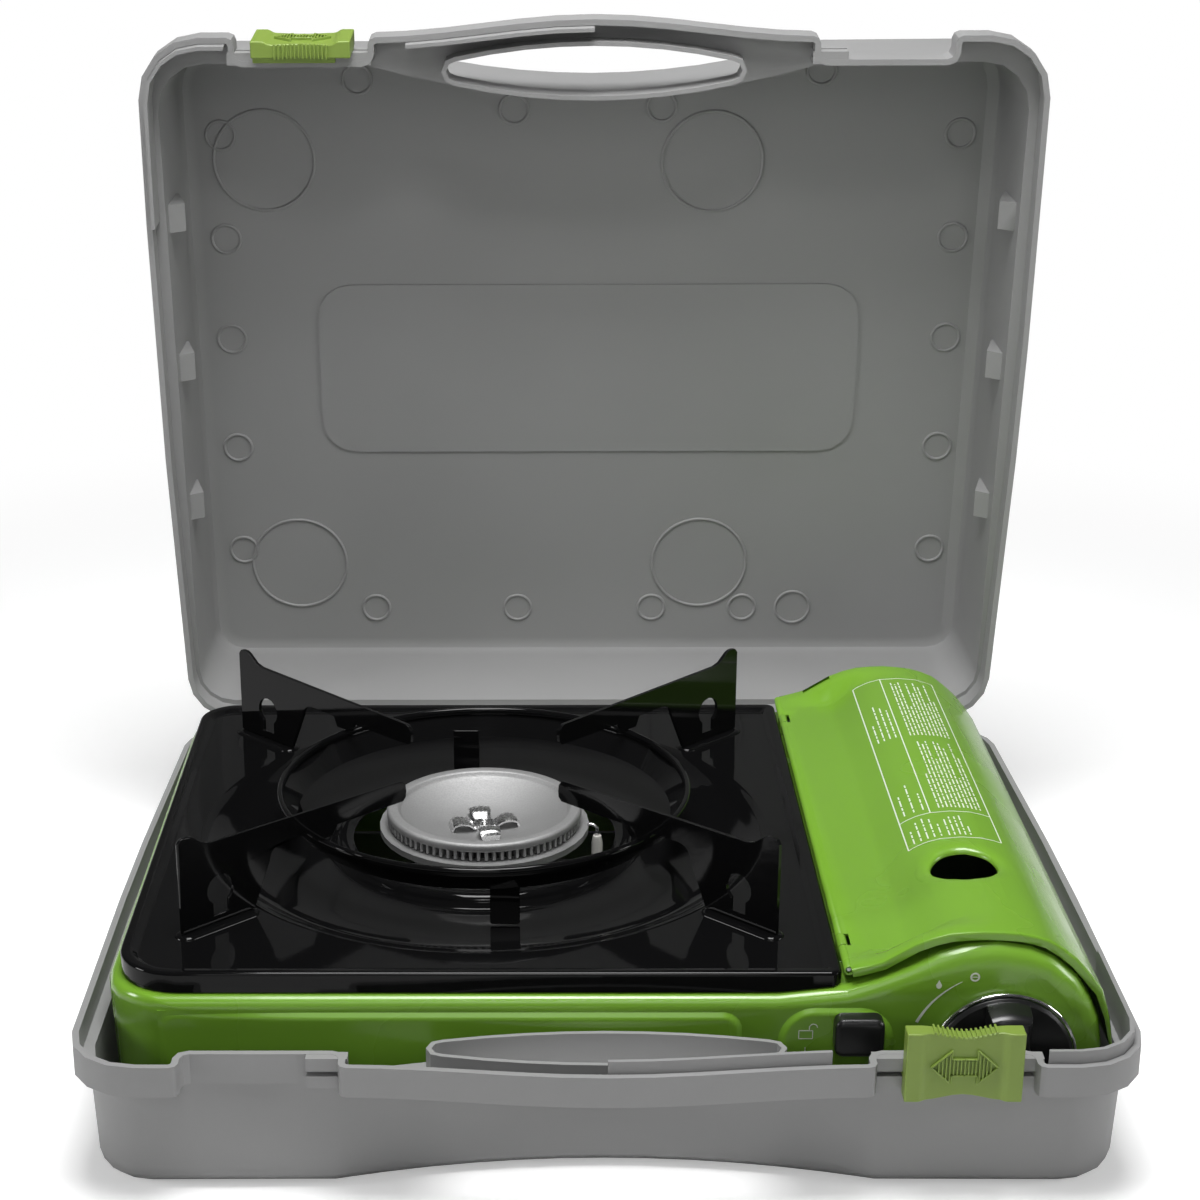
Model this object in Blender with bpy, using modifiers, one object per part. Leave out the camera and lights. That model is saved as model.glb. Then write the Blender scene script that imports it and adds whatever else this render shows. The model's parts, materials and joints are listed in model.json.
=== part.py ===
"""Cassette gas stove standing in its open carrying case, as separate parts. Metres, +Z up.

The origin is on the flat underside of the case, in the middle of its width. X runs to the
right, Y to the back, towards the case hinge. The lid is shown open, the stove stands in the tray.
"""

import math

import bmesh
import bpy
from mathutils import Matrix, Vector

# ------------------------------------------------------------------ clearances and fasteners
GAP = 0.0003                 # between pieces that touch or seat
RUNNING_GAP = 0.0004         # between pieces that slide on each other
SEAM_STEP = 0.0001           # a rib that joins a wall stops this far short of its edge

# ------------------------------------------------------------------ carrying case
CASE_HALF_WIDTH = 0.1875     # rim band, before taper and bow
CASE_TAPER = 0.0040          # each side is this much further in at the back
CASE_BOW = 0.0023            # each side is this much further in at its two ends
CASE_FRONT = -0.1535
CASE_BACK = 0.1534
CASE_FRONT_RADIUS = 0.025
CASE_BACK_RADIUS = 0.020
CASE_HEIGHT = 0.055          # tray, up to its rim
LID_DEPTH = 0.063
CASE_WALL = 0.0022
BAND_WALL = 0.0024
BAND_HEIGHT = 0.0115
BAND_CORNER = 0.003          # rounding of the band where it turns in at a latch seat
SHELL_HALF_WIDTH = 0.1816    # outside of the tray below the band
SHELL_TAPER = 0.0016
SHELL_FRONT = -0.1435
SHELL_BACK = 0.1506
SHELL_DRAFT = 0.0014         # how far the wall leans in towards the bottom
BOTTOM_FILLET = 0.009
SEAT_PROUD = 0.0006
HANDLE_BULGE = 0.0069
HAND_HOLLOW = 0.0140         # how far the front wall bows in behind the handle
HAND_HOLLOW_HALF = 0.095
HAND_HOLE_HALF = 0.060
HAND_HOLE_FRONT = -0.1498
HAND_HOLE_REAR = -0.1297
HAND_HOLE_SAG = 0.0060
HAND_HOLE_WALL = 0.0018
TONGUE_HEIGHT = 0.0047
TONGUE_THICKNESS = 0.0015
TONGUE_END = 0.085
HINGE_Y = 0.1568
HINGE_X = 0.105              # middle of each case hinge
HINGE_RADIUS = 0.0031
HINGE_PIN_RADIUS = 0.00125
LUG_LENGTH = 0.014
KNUCKLE_LENGTH = 0.0192
LID_OPEN_DEG = 85.0
RIM_GAP = GAP                # between the two rims when the lid is shut
AXIS_HEIGHT = CASE_HEIGHT + RIM_GAP / 2   # of the case hinge
CORNER_STEPS = 4             # straight pieces in each rounded corner of the case
TONGUE_ROOT = 0.0019         # the tongue's root reaches this far into the rim band
LUG_FOOT = 0.00806           # a hinge lug's web reaches this far below the axis
LUG_BACK = 0.00124           # and its back face stands this far in front of it
LID_PANEL = (0.1215, -0.0332, 0.0458)   # half width, low and high edge of the lid's raised panel
LID_PANEL_RADIUS = 0.015
LID_PANEL_RISE = 0.0008
RAMP_PLACES = (-0.075, -0.009, 0.056)
RAMP_HALF = 0.006
RAMP_SECTION = (             # reach inwards from the wall, and depth below the rim
    (0.0, 0.016), (0.0065, 0.020), (0.0020, 0.036), (0.0, 0.036),
)

# ------------------------------------------------------------------ case latches
LATCH_WIDTH = 0.0399
LATCH_HEIGHT = 0.026
LATCH_WAIST = 0.0022
LATCH_FRONT = -0.1545
LATCH_BASE_X = 0.12035       # middle of the tray's latch
LATCH_LID_X = -0.1175        # middle of the lid's latch
SEAT_RUN_IN = 0.0090         # a latch can slide this far towards the handle
SEAT_RUN_OUT = 0.0053        # and this far towards the corner
SEAT_INNER = LATCH_BASE_X - LATCH_WIDTH / 2 - SEAT_RUN_IN    # a latch seat runs from here
SEAT_OUTER = LATCH_BASE_X + LATCH_WIDTH / 2 + SEAT_RUN_OUT   # to here, on both sides
CATCH_FRONT = -0.1473        # face of the rail that a latch slides on
CATCH_WIDTH = 0.011
CATCH_HEIGHT = 0.0114
GROOVE_LOW = 0.0070          # mouth of the rail's groove, below the rim
GROOVE_HIGH = 0.0050
GROOVE_TOP = 0.0024          # top of the wider chamber behind the mouth
GROOVE_LIP = 0.0014
GROOVE_DEPTH = 0.0030
HOOK_SETBACK = 0.0066        # the catching hook starts this far in from the latch's end

# ------------------------------------------------------------------ stove body
BODY_LEFT = -0.1765
BODY_RIGHT = 0.1749
BODY_FRONT = -0.1260
BODY_BACK = 0.1410
BODY_BOTTOM = 0.0095
BODY_TOP = 0.0667
BODY_EDGE = 0.005
BODY_SHEET = 0.0010
BODY_DRAFT = 0.0022
BODY_FRONT_RADIUS = 0.025
BODY_BACK_RADIUS = 0.018
BODY_RIGHT_RADIUS = 0.006
SHELF_FRONT = 0.0110         # flange that is left around the pan opening
BAY_LEFT = 0.0880
BAY_FLANGE = 0.0110
BAY_SILL = 0.0400
PARTITION_X = 0.0840
PARTITION_SHEET = 0.0008
FOOT_RADIUS = 0.0075
FEET = ((-0.150, -0.098), (0.148, -0.098), (-0.150, 0.114), (0.148, 0.114))

# ------------------------------------------------------------------ burner and drip pan
BURNER_X, BURNER_Y = -0.0445, 0.0080
PAN_LEFT, PAN_RIGHT = -0.1718, 0.0823
PAN_FRONT, PAN_BACK = -0.1224, 0.1340
PAN_TOP = 0.0745
PAN_SKIRT = 0.0075
PAN_SHEET = 0.0010
PAN_FIELD = 0.0726           # level of the pan inside its raised edge
PAN_FRONT_RADIUS = 0.022
PAN_BACK_RADIUS = 0.016
PAN_RIGHT_RADIUS = 0.003
RING_RADIUS = 0.0815
RING_TOP = 0.0910
RING_HEIGHT = 0.0110
RING_SHEET = 0.0012
FIN_SHEET = 0.0015
FIN_ANGLE_DEG = 42.9         # of a fin from the X axis
FIN_FOOT = 0.0739
CAP_TOP = 0.0810
CAP_TEETH = 48

# ------------------------------------------------------------------ cartridge bay and controls
CARTRIDGE_X, CARTRIDGE_Z = 0.1310, 0.0530
CARTRIDGE_RADIUS = 0.0340
COVER_SHEET = 0.0010
COVER_FRONT, COVER_BACK = -0.1230, 0.1395
COVER_FLANGE = 0.0032
COVER_PIN_X, COVER_PIN_Z = 0.0846, 0.0746
COVER_CURL = 0.00175
COVER_PIN_RADIUS = 0.0009
COVER_LUGS = (-0.100, 0.112)  # middles of the two lugs that hold the cover's pin
COVER_LUG_LENGTH = 0.008
SIGHT_HOLE = (0.1330, -0.0650)
KNOB_X, KNOB_Z = 0.1388, 0.0434
KNOB_RADIUS = 0.0244
KNOB_BACK = -0.1272
KNOB_DISC = 0.0026
KNOB_GRIP_WIDTH = 0.0150
SHAFT_RADIUS = 0.0030
BEZEL_RADIUS = 0.0258
LEVER_LEFT, LEVER_RIGHT = 0.0792, 0.0964
LEVER_BOTTOM, LEVER_TOP = 0.0470, 0.0615
LEVER_TRAVEL = 0.0120
LEVER_STEM = (0.0850, 0.0910, 0.0510, 0.0570)
PUSHER_Y = 0.1240

# ------------------------------------------------------------------ stove, further sizes
BODY_HUMP = (                # top line of the body from its free side to the flat, as (x, z)
    (0.0600, 0.0667), (0.0840, 0.0695), (0.0950, 0.0730), (0.1050, 0.0775), (0.1150, 0.0825),
    (0.1240, 0.0853), (0.1350, 0.0865), (0.1470, 0.0845), (0.1550, 0.0808), (0.1636, 0.0735),
    (0.1690, 0.0650), (0.1725, 0.0570), (0.1744, 0.0460), (0.1748, 0.0400),
)
BODY_STATIONS = (0.0, 0.0007, 0.0020, 0.0045, 0.0090, 0.0150, 0.0250)
BLEND_WIDTH = 0.040          # the right side's corner pulls the hump in over this width
FRONT_LEAN = 0.0025
SKIRT_CLEAR = 0.005
PAN_OPENING_RIGHT = 0.0800
BAY_SILL_TOP = 0.0470
HUMP_CLEAR = 0.1000
SHAFT_HOLE_RADIUS = 0.0050
SLOT_CLEAR = 0.0025
LUG_RADIUS = 0.0019
PLATE_INSET = 0.0025
VENT_ROWS = (-0.070, 0.070)
VENTS_PER_ROW = 6
VENT_FIRST_X = -0.110
VENT_PITCH = 0.028
VENT_WIDTH = 0.005
VENT_LENGTH = 0.030
PIPE_HOLE = 0.0060
PIPE_CROSSING = (-0.1030, 0.0460)   # y and z where the gas pipe passes the heat shield
LEAD_HOLE = 0.0030
LEAD_CROSSING = (-0.1085, 0.0150)
BULKHEAD_Y = -0.0945
BULKHEAD_HOLE = 0.0165
BULKHEAD = (
    (0.0960, 0.0095), (0.1660, 0.0095), (0.1660, 0.0670), (0.1570, 0.0760), (0.1500, 0.0810),
    (0.1200, 0.0810), (0.1090, 0.0730), (0.0960, 0.0700),
)
CRADLE_LEG = 0.0360
CRADLE_FOOT = 0.0040
CRADLE_Y = (-0.0780, 0.1080)
PAN_EDGE = 0.0010
PAN_SIDE_STEPS = 7
PAN_EDGE_STEPS = (           # inset and height of the pan's raised edge, from outside
    (0.0, 0.0733), (0.0010, 0.0745), (0.0034, 0.0745), (0.0066, 0.0726),
)
DISH_RADIUS = 0.1120         # of the pan's dish at its top
DISH_CLEAR = 0.0005          # from the ring, all round, to the start of the dish's wall
DISH_FOOT = RING_RADIUS + DISH_CLEAR
DISH_WALL = ((1.0, 0.0726), (26 / 30, 0.0714), (20 / 30, 0.0678), (13 / 30, 0.0657), (0.0, 0.0648))
DISH_FLOOR = ((0.0640, 0.0646), (0.0605, 0.0660), (0.0580, 0.0688), (0.0550, 0.0694), (0.0520, 0.0686))
PAN_DISH = tuple(            # radius and height of the dish, from outside
    (DISH_FOOT + (DISH_RADIUS - DISH_FOOT) * share, z) for share, z in DISH_WALL
) + DISH_FLOOR
FIN_BEAD = (0.1130, 0.1475)
FIN_BEAD_WIDTH = 0.0090
FIN_HORN = (                 # outer edge and horn of a fin, as distance from the burner and height
    (0.1460, 0.0739), (0.1460, 0.1090), (0.1448, 0.1106), (0.1432, 0.1110), (0.1409, 0.1109),
    (0.1395, 0.1103), (0.1375, 0.1088), (0.1350, 0.1068), (0.1315, 0.1058),
)
FIN_ARM = (                  # the arm's top, its rounded inner end and its underside
    (0.0430, 0.1036), (0.0418, 0.1030), (0.0406, 0.1015), (0.0403, 0.0990), (0.0405, 0.0965),
    (0.0420, 0.0950), (RING_RADIUS - 0.0075, 0.0952),
)
FIN_NOTCH = (                # where it straddles the ring
    (RING_RADIUS - 0.0050, RING_TOP + GAP), (RING_RADIUS + 0.0030, RING_TOP + GAP),
    (RING_RADIUS + 0.0050, 0.0955),
)
FIN_ARCH = (RING_RADIUS + 0.0185, 0.0900)
FIN_ARCH_RADIUS = 0.0060
KEYHOLE = (0.1285, 0.0865)
KEYHOLE_RADIUS = 0.0058
KEYHOLE_FOOT = 0.0770
KEYHOLE_OPEN_DEG = 35.0
RING_SLOPE = 0.0065
RING_LAND = 0.0020
RING_TAB_X = 0.0090
RING_TAB_HALF = 0.0055
RING_TAB_FOOT = 0.0652
RING_TAB_LAP = 0.0030
TUBE_DIRECTION_DEG = -41.3
TUBE_Z = 0.0490
TUBE_RADIUS = 0.0090
BURNER_FLANGE_TOP = 0.0735
BURNER_FLOOR = 0.0360
SOCKET_WALL = 0.0028         # round the end of the mixing tube
SOCKET_RUN = (0.004, 0.036)  # along the tube's axis, from the burner's middle
SOCKET_BORE_RUN = (0.018, 0.050)
EAR_WALL = 0.0024            # round the electrode
EAR_HEIGHTS = (0.0560, 0.0620)
EAR_ARM_RADIUS = 0.0025
EAR_ARM_END = (-0.0030, 0.0010)   # from the electrode's axis
BURNER_BASE_PROFILE = (      # radius and height, from the middle of the top
    (0.0, 0.0735), (0.0415, 0.0735), (0.0415, 0.0710), (0.0360, 0.0705), (0.0290, 0.0600),
    (0.0240, 0.0520), (0.0240, 0.0360), (0.0, 0.0360),
)
BURNER_WELL_PROFILE = (
    (0.0, 0.0760), (0.0310, 0.0760), (0.0310, 0.0700), (0.0200, 0.0500), (0.0200, 0.0400),
    (0.0, 0.0400),
)
CAP_ROOT = 0.0345
CAP_TOOTH = 0.0382
CAP_DISH = 0.0782
BURNER_CAP_PROFILE = (
    (0.0, 0.0782), (0.0210, 0.0782), (0.0290, 0.0792), (0.0350, 0.0808), (0.0370, 0.0810),
    (0.0385, 0.0802), (0.0385, 0.0780), (0.0300, 0.0760), (0.0, 0.0750),
)
CLIP_RADIUS = 0.0100
CLIP_SHEET = 0.0015
CLIP_WAIST = 0.62            # share of the radius between the clip's lobes
CLIP_STEPS = 48
TOOTH_SHAPE = ((0.0, CAP_ROOT), (0.14, CAP_TOOTH), (0.5, CAP_TOOTH), (0.64, CAP_ROOT))
TEETH_TOP = 0.0783
BRACKET_FOOT = 0.030
BRACKET_LEG = 0.018
BRACKET_HALF = 0.014
TUBE_PROFILE = (             # radius and distance from the burner's middle, outer end first
    (0.0080, 0.1120), (0.0140, 0.1120), (0.0140, 0.1105), (0.0100, 0.1020), (0.0090, 0.0940),
    (0.0090, 0.0190), (0.0080, 0.0190), (0.0080, 0.0940), (0.0090, 0.1020), (0.0128, 0.1110),
)
JET_PROFILE = (
    (0.0, 0.1300), (0.0035, 0.1300), (0.0035, 0.1270), (0.0060, 0.1270), (0.0060, 0.1180),
    (0.0030, 0.1170), (0.0020, 0.1130), (0.0, 0.1130),
)
PIPE_RADIUS = 0.0025
PIPE_END_X, PIPE_END_Y = 0.1215, -0.1080
PIPE_STRAIGHT = 0.0080       # straight run at each end of the pipe
PIPE_BEND = (0.1020, -0.1075, 0.0434)
ELECTRODE = (0.0000, -0.0060)
ELECTRODE_RADIUS = 0.0022
ELECTRODE_TOP = 0.0740
ELECTRODE_BOTTOM = 0.0500
ELECTRODE_TIP = (            # from the electrode's axis, and height
    (0.0, 0.0, 0.0743), (0.0, 0.0, 0.0770), (-0.0015, 0.0005, 0.0782), (-0.0040, 0.0012, 0.0784),
)
ELECTRODE_TIP_RADIUS = 0.0007
LEAD_RADIUS = 0.0012
LEAD_ROUTE = (
    (0.0000, -0.0060, 0.0497), (0.0000, -0.0060, 0.0430), (0.0040, -0.0120, 0.0300),
    (0.0150, -0.0350, 0.0160), (0.0500, -0.0850, 0.0130), (0.0750, -0.1020, 0.0150),
    (0.0840, -0.1085, 0.0150), (0.1100, -0.1085, 0.0150), (0.1457, -0.1085, 0.0150),
)
IGNITER_LOW = (0.1460, -0.1200, 0.0095)
IGNITER_HIGH = (0.1600, -0.0970, 0.0205)
REGULATOR_BACK = -0.1040
REGULATOR_PROFILE = (        # radius and distance towards the front, front face first
    (0.0, 0.1180), (0.0195, 0.1180), (0.0210, 0.1165), (0.0210, 0.1120), (0.0170, 0.1110),
    (0.0170, 0.1050), (0.0160, 0.1040), (0.0, 0.1040),
)
REGULATOR_BOSS = 0.0080
CONNECTOR_PROFILE = (
    (0.0, 0.0945), (0.0045, 0.0945), (0.0045, 0.0900), (0.0030, 0.0890), (0.0030, 0.0860),
    (0.0, 0.0860),
)
SHAFT_PROFILE = (
    (0.0, 0.1370), (0.0026, 0.1370), (0.0030, 0.1366), (0.0030, 0.1183), (0.0, 0.1183),
)
BEZEL_FRONT, BEZEL_BACK = -0.1280, -0.1263
GRIP_STEPS = (               # distance in front of the disc, and how much narrower and shorter
    (-0.0010, 0.0, 0.0), (0.0060, 0.0002, 0.0010), (0.0082, 0.0006, 0.0020), (0.0093, 0.0014, 0.0032),
    (0.0097, 0.0026, 0.0046),
)
LEVER_STEPS = (              # inset and y, front first
    (0.0020, -0.1335), (0.0008, -0.1330), (0.0, -0.1320), (0.0, -0.1266),
)
LEVER_STEM_BACK = -0.1170
PUSHER_ROD = (0.0885, 0.0915, 0.0285, 0.0315)
PUSHER_ROD_FRONT = -0.1080
PUSHER_PLATE = (0.1600, 0.0200, 0.0700)   # right edge, bottom and top
PUSHER_PLATE_SHEET = 0.0015
SIGHT_LIP_RADIUS = 0.0163
SIGHT_LIP_TOP = 0.0920
SIGHT_LIP_PROFILE = (
    (0.0120, 0.0920), (0.0148, 0.0920), (0.0158, 0.0914), (0.0163, 0.0904), (0.0170, 0.0845),
    (0.0158, 0.0845), (0.0151, 0.0902), (0.0145, 0.0910), (0.0120, 0.0910),
)
FLANGE_TAPER = (0.0028, 0.0020, 0.0013)   # depth of the turned-down ends at their last points
COVER_LINE = (               # end line, line between the ends, and how much the back is smaller
    ((0.0851, 0.0762), (0.0851, 0.0761), (0.0, 0.0)),
    ((0.0900, 0.0774), (0.0930, 0.0763), (0.0, 0.0)),
    ((0.0955, 0.0790), (0.1000, 0.0766), (0.0, 0.0)),
    ((0.1010, 0.0824), (0.1045, 0.0771), (0.0, 0.0)),
    ((0.1070, 0.0860), (0.1080, 0.0780), (0.0, 0.0)),
    ((0.1130, 0.0884), (0.1130, 0.0822), (0.0, 0.0)),
    ((0.1190, 0.0900), (0.1180, 0.0860), (0.0, 0.0)),
    ((0.1250, 0.0905), (0.1225, 0.0882), (0.0, 0.0)),
    ((0.1305, 0.0907), (0.1275, 0.0896), (0.0, 0.0)),
    ((0.1370, 0.0905), (0.1355, 0.0904), (0.0, 0.0003)),
    ((0.1430, 0.0900), (0.1430, 0.0900), (0.0, 0.0006)),
    ((0.1480, 0.0889), (0.1480, 0.0889), (0.0001, 0.0010)),
    ((0.1530, 0.0873), (0.1530, 0.0873), (0.0001, 0.0015)),
    ((0.1584, 0.0837), (0.1584, 0.0837), (0.0002, 0.0020)),
    ((0.1634, 0.0795), (0.1634, 0.0795), (0.0002, 0.0023)),
    ((0.1684, 0.0737), (0.1684, 0.0737), (0.0004, 0.0023)),
    ((0.1730, 0.0675), (0.1730, 0.0675), (0.0006, 0.0023)),
    ((0.1762, 0.0570), (0.1762, 0.0570), (0.0010, 0.0011)),
    ((0.1782, 0.0455), (0.1782, 0.0455), (0.0019, 0.0)),
)

COLOURS = {
    "case_plastic": ((0.27, 0.27, 0.27), 0.45, 0.0),
    "latch_plastic": ((0.22, 0.36, 0.05), 0.40, 0.0),
    "green_enamel": ((0.18, 0.36, 0.04), 0.20, 0.0),
    "black_enamel": ((0.006, 0.006, 0.006), 0.12, 0.0),
    "cast_aluminium": ((0.55, 0.55, 0.55), 0.38, 1.0),
    "zinc_steel": ((0.50, 0.51, 0.52), 0.35, 1.0),
    "stainless_steel": ((0.60, 0.60, 0.60), 0.25, 1.0),
    "brass": ((0.60, 0.42, 0.15), 0.30, 1.0),
    "black_plastic": ((0.012, 0.012, 0.014), 0.38, 0.0),
    "chrome": ((0.75, 0.75, 0.76), 0.10, 1.0),
    "rubber": ((0.02, 0.02, 0.02), 0.80, 0.0),
    "ceramic": ((0.80, 0.78, 0.72), 0.35, 0.0),
    "lead_insulation": ((0.55, 0.03, 0.02), 0.45, 0.0),
}


# ====================================================================== scene and mesh helpers
def clear_scene():
    for obj in list(bpy.data.objects):
        bpy.data.objects.remove(obj, do_unlink=True)


def new_collection(name):
    collection = bpy.data.collections.new(name)
    bpy.context.scene.collection.children.link(collection)
    return collection


def material(name):
    found = bpy.data.materials.get(name)
    if found:
        return found
    colour, roughness, metallic = COLOURS[name]
    made = bpy.data.materials.new(name)
    made.use_nodes = True
    shader = made.node_tree.nodes["Principled BSDF"]
    shader.inputs["Base Color"].default_value = (*colour, 1.0)
    shader.inputs["Roughness"].default_value = roughness
    shader.inputs["Metallic"].default_value = metallic
    made.diffuse_color = (*colour, 1.0)
    return made


clear_scene()
PARTS = new_collection("camping_stove")
CUTTERS = new_collection("cutters")


def add_object(name, mesh, finish=None, parent=None):
    """Put a mesh into the model as a part, or among the cutters when it has no finish."""
    obj = bpy.data.objects.new(name, mesh)
    if finish:
        PARTS.objects.link(obj)
        mesh.materials.append(material(finish))
        mesh.shade_smooth()
        mesh.set_sharp_from_angle(angle=math.radians(35))
    else:
        CUTTERS.objects.link(obj)
        obj.hide_render = True
        obj.display_type = "WIRE"
    obj.parent = parent
    return obj


def from_bmesh(name, bm, finish=None, parent=None, matrix=None):
    if matrix is not None:
        bmesh.ops.transform(bm, matrix=matrix, verts=bm.verts)
    bmesh.ops.recalc_face_normals(bm, faces=bm.faces)
    mesh = bpy.data.meshes.new(name)
    bm.to_mesh(mesh)
    bm.free()
    return add_object(name, mesh, finish, parent)


def carry(name, location, *pieces, parent=None):
    """Hang pieces, and the shapes that cut or join them, from an empty on the axis of their joint."""
    empty = axis_empty(name, location, parent=parent)
    for piece in pieces:
        shapes = [modifier.object for modifier in piece.modifiers if modifier.type == "BOOLEAN"]
        for obj in (piece, *shapes):
            obj.parent = empty
            obj.matrix_parent_inverse = Matrix.Translation(-Vector(location))


def axis_empty(name, location, rotation=(0.0, 0.0, 0.0), parent=None):
    empty = bpy.data.objects.new(name, None)
    empty.location = location
    empty.rotation_euler = rotation
    empty.parent = parent
    PARTS.objects.link(empty)
    return empty


def boolean(target, other, operation):
    """Long chains of unions on the mouldings need the MANIFOLD solver: EXACT drops their shells."""
    modifier = target.modifiers.new(f"{operation.lower()} {other.name}", "BOOLEAN")
    modifier.solver = "MANIFOLD"
    modifier.operation = operation
    modifier.object = other
    return target


def cut(target, *cutters):
    for cutter in cutters:
        boolean(target, cutter, "DIFFERENCE")


def join(target, *pieces):
    for piece in pieces:
        boolean(target, piece, "UNION")


def arc(centre, radius, start_deg, end_deg, steps):
    """Points of an arc in a plane, both ends included."""
    sweep = math.radians(end_deg - start_deg)
    first = math.radians(start_deg)
    return [
        (
            centre[0] + radius * math.cos(first + sweep * i / steps),
            centre[1] + radius * math.sin(first + sweep * i / steps),
        )
        for i in range(steps + 1)
    ]


def smooth_line(points, steps):
    """A Catmull-Rom line through the points, with `steps` pieces between each pair."""
    ends = [points[0], *points, points[-1]]
    line = []
    for a, b, c, d in zip(ends, ends[1:], ends[2:], ends[3:]):
        for i in range(steps):
            t = i / steps
            line.append(
                tuple(
                    0.5
                    * (
                        2 * q
                        + (r - p) * t
                        + (2 * p - 5 * q + 4 * r - s) * t * t
                        + (3 * q - p - 3 * r + s) * t**3
                    )
                    for p, q, r, s in zip(a, b, c, d)
                )
            )
    line.append(tuple(points[-1]))
    return line


def offset_line(points, distance, closed=True):
    """Move every point of a line to its left by the distance, keeping the corners square."""
    count = len(points)
    moved = []
    for i, (x, y) in enumerate(points):
        before = points[i - 1] if closed or i else None
        after = points[(i + 1) % count] if closed or i < count - 1 else None
        normals = []
        for start, end in ((before, (x, y)), ((x, y), after)):
            if start is None or end is None:
                continue
            dx, dy = end[0] - start[0], end[1] - start[1]
            length = math.hypot(dx, dy)
            normals.append((-dy / length, dx / length))
        nx = sum(n[0] for n in normals)
        ny = sum(n[1] for n in normals)
        scale = 2.0 / max(nx * nx + ny * ny, 0.4) if len(normals) == 2 else 1.0
        moved.append((x + nx * distance * scale, y + ny * distance * scale))
    return moved


def at_height(points, z):
    return [(x, y, z) for x, y in points]


def loft_mesh(rings, capped=True):
    """Skin closed rings of equally many points, one after another."""
    bm = bmesh.new()
    rows = [[bm.verts.new(point) for point in ring] for ring in rings]
    for low, high in zip(rows, rows[1:]):
        count = len(low)
        for i in range(count):
            j = (i + 1) % count
            bm.faces.new((low[i], low[j], high[j], high[i]))
    if capped:
        bm.faces.new(rows[0])
        bm.faces.new(rows[-1])
    return bm


def loft(name, rings, finish=None, parent=None, matrix=None):
    return from_bmesh(name, loft_mesh(rings), finish, parent, matrix)


def upright(name, outline, bottom, top, finish=None, parent=None, matrix=None):
    """A flat outline in X and Y raised from one height to another."""
    rings = [at_height(outline, bottom), at_height(outline, top)]
    return loft(name, rings, finish, parent, matrix)


def along_y(name, outline, start, end, finish=None, parent=None, matrix=None):
    """A flat outline in X and Z drawn from one Y to another."""
    rings = [[(x, y, z) for x, z in outline] for y in (start, end)]
    return loft(name, rings, finish, parent, matrix)


def box(name, low, high, finish=None, parent=None):
    bm = bmesh.new()
    bmesh.ops.create_cube(bm, size=1.0)
    centre = [(a + b) / 2 for a, b in zip(low, high)]
    size = [b - a for a, b in zip(low, high)]
    matrix = Matrix.Translation(centre) @ Matrix.Diagonal((*size, 1.0))
    return from_bmesh(name, bm, finish, parent, matrix)


def cylinder(name, radius, start, end, finish=None, parent=None, sides=16, end_radius=None):
    """A round bar or cone between two points."""
    start, end = Vector(start), Vector(end)
    bm = bmesh.new()
    bmesh.ops.create_cone(
        bm,
        cap_ends=True,
        segments=sides,
        radius1=radius,
        radius2=radius if end_radius is None else end_radius,
        depth=(end - start).length,
    )
    turn = (end - start).to_track_quat("Z", "Y").to_matrix().to_4x4()
    matrix = Matrix.Translation((start + end) / 2) @ turn
    return from_bmesh(name, bm, finish, parent, matrix)


def turned(name, profile, sides, finish=None, parent=None, matrix=None):
    """Turn a closed (radius, height) profile about Z with a Screw modifier."""
    bm = bmesh.new()
    points = [bm.verts.new((radius, 0.0, height)) for radius, height in profile]
    on_axis = profile[0][0] == 0.0 and profile[-1][0] == 0.0
    for a, b in zip(points, points[1:]):
        bm.edges.new((a, b))
    if not on_axis:
        bm.edges.new((points[-1], points[0]))
    mesh = bpy.data.meshes.new(name)
    bm.to_mesh(mesh)
    bm.free()
    obj = add_object(name, mesh, finish, parent)
    screw = obj.modifiers.new("turn", "SCREW")
    screw.steps = sides
    screw.render_steps = sides
    screw.use_merge_vertices = True
    screw.merge_threshold = 0.00001
    if matrix is not None:
        obj.matrix_local = matrix
    return obj


def flat_plate(name, outlines, thickness, finish=None, parent=None, matrix=None):
    """A sheet from a filled 2D curve: the first outline is its edge, the others are holes."""
    curve = bpy.data.curves.new(name, "CURVE")
    curve.dimensions = "2D"
    curve.fill_mode = "BOTH"
    curve.extrude = thickness / 2
    for outline in outlines:
        spline = curve.splines.new("POLY")
        spline.points.add(len(outline) - 1)
        for point, (x, y) in zip(spline.points, outline):
            point.co = (x, y, 0.0, 1.0)
        spline.use_cyclic_u = True
    return mesh_from_curve(name, curve, finish, parent, matrix)


def mesh_from_curve(name, curve, finish=None, parent=None, matrix=None):
    """Turn a curve into a closed mesh with its caps welded on."""
    guide = bpy.data.objects.new(name + "_curve", curve)
    CUTTERS.objects.link(guide)
    graph = bpy.context.evaluated_depsgraph_get()
    mesh = bpy.data.meshes.new_from_object(guide.evaluated_get(graph))
    bpy.data.objects.remove(guide)
    bm = bmesh.new()
    bm.from_mesh(mesh)
    bmesh.ops.remove_doubles(bm, verts=bm.verts, dist=0.00001)
    return from_bmesh(name, bm, finish, parent, matrix)


def wire(name, points, radius, finish, parent=None, bevel_resolution=2):
    """A round bar along a line of points, with filled caps."""
    curve = bpy.data.curves.new(name, "CURVE")
    curve.dimensions = "3D"
    curve.bevel_depth = radius
    curve.bevel_resolution = bevel_resolution
    curve.use_fill_caps = True
    spline = curve.splines.new("POLY")
    spline.points.add(len(points) - 1)
    for point, place in zip(spline.points, points):
        point.co = (*place, 1.0)
    return mesh_from_curve(name, curve, finish, parent)


# X and Z outline of a thing that lies along Y: turns the Z axis of a turned piece towards the front.
TOWARDS_FRONT = Matrix.Rotation(math.radians(90), 4, "X")


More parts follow.
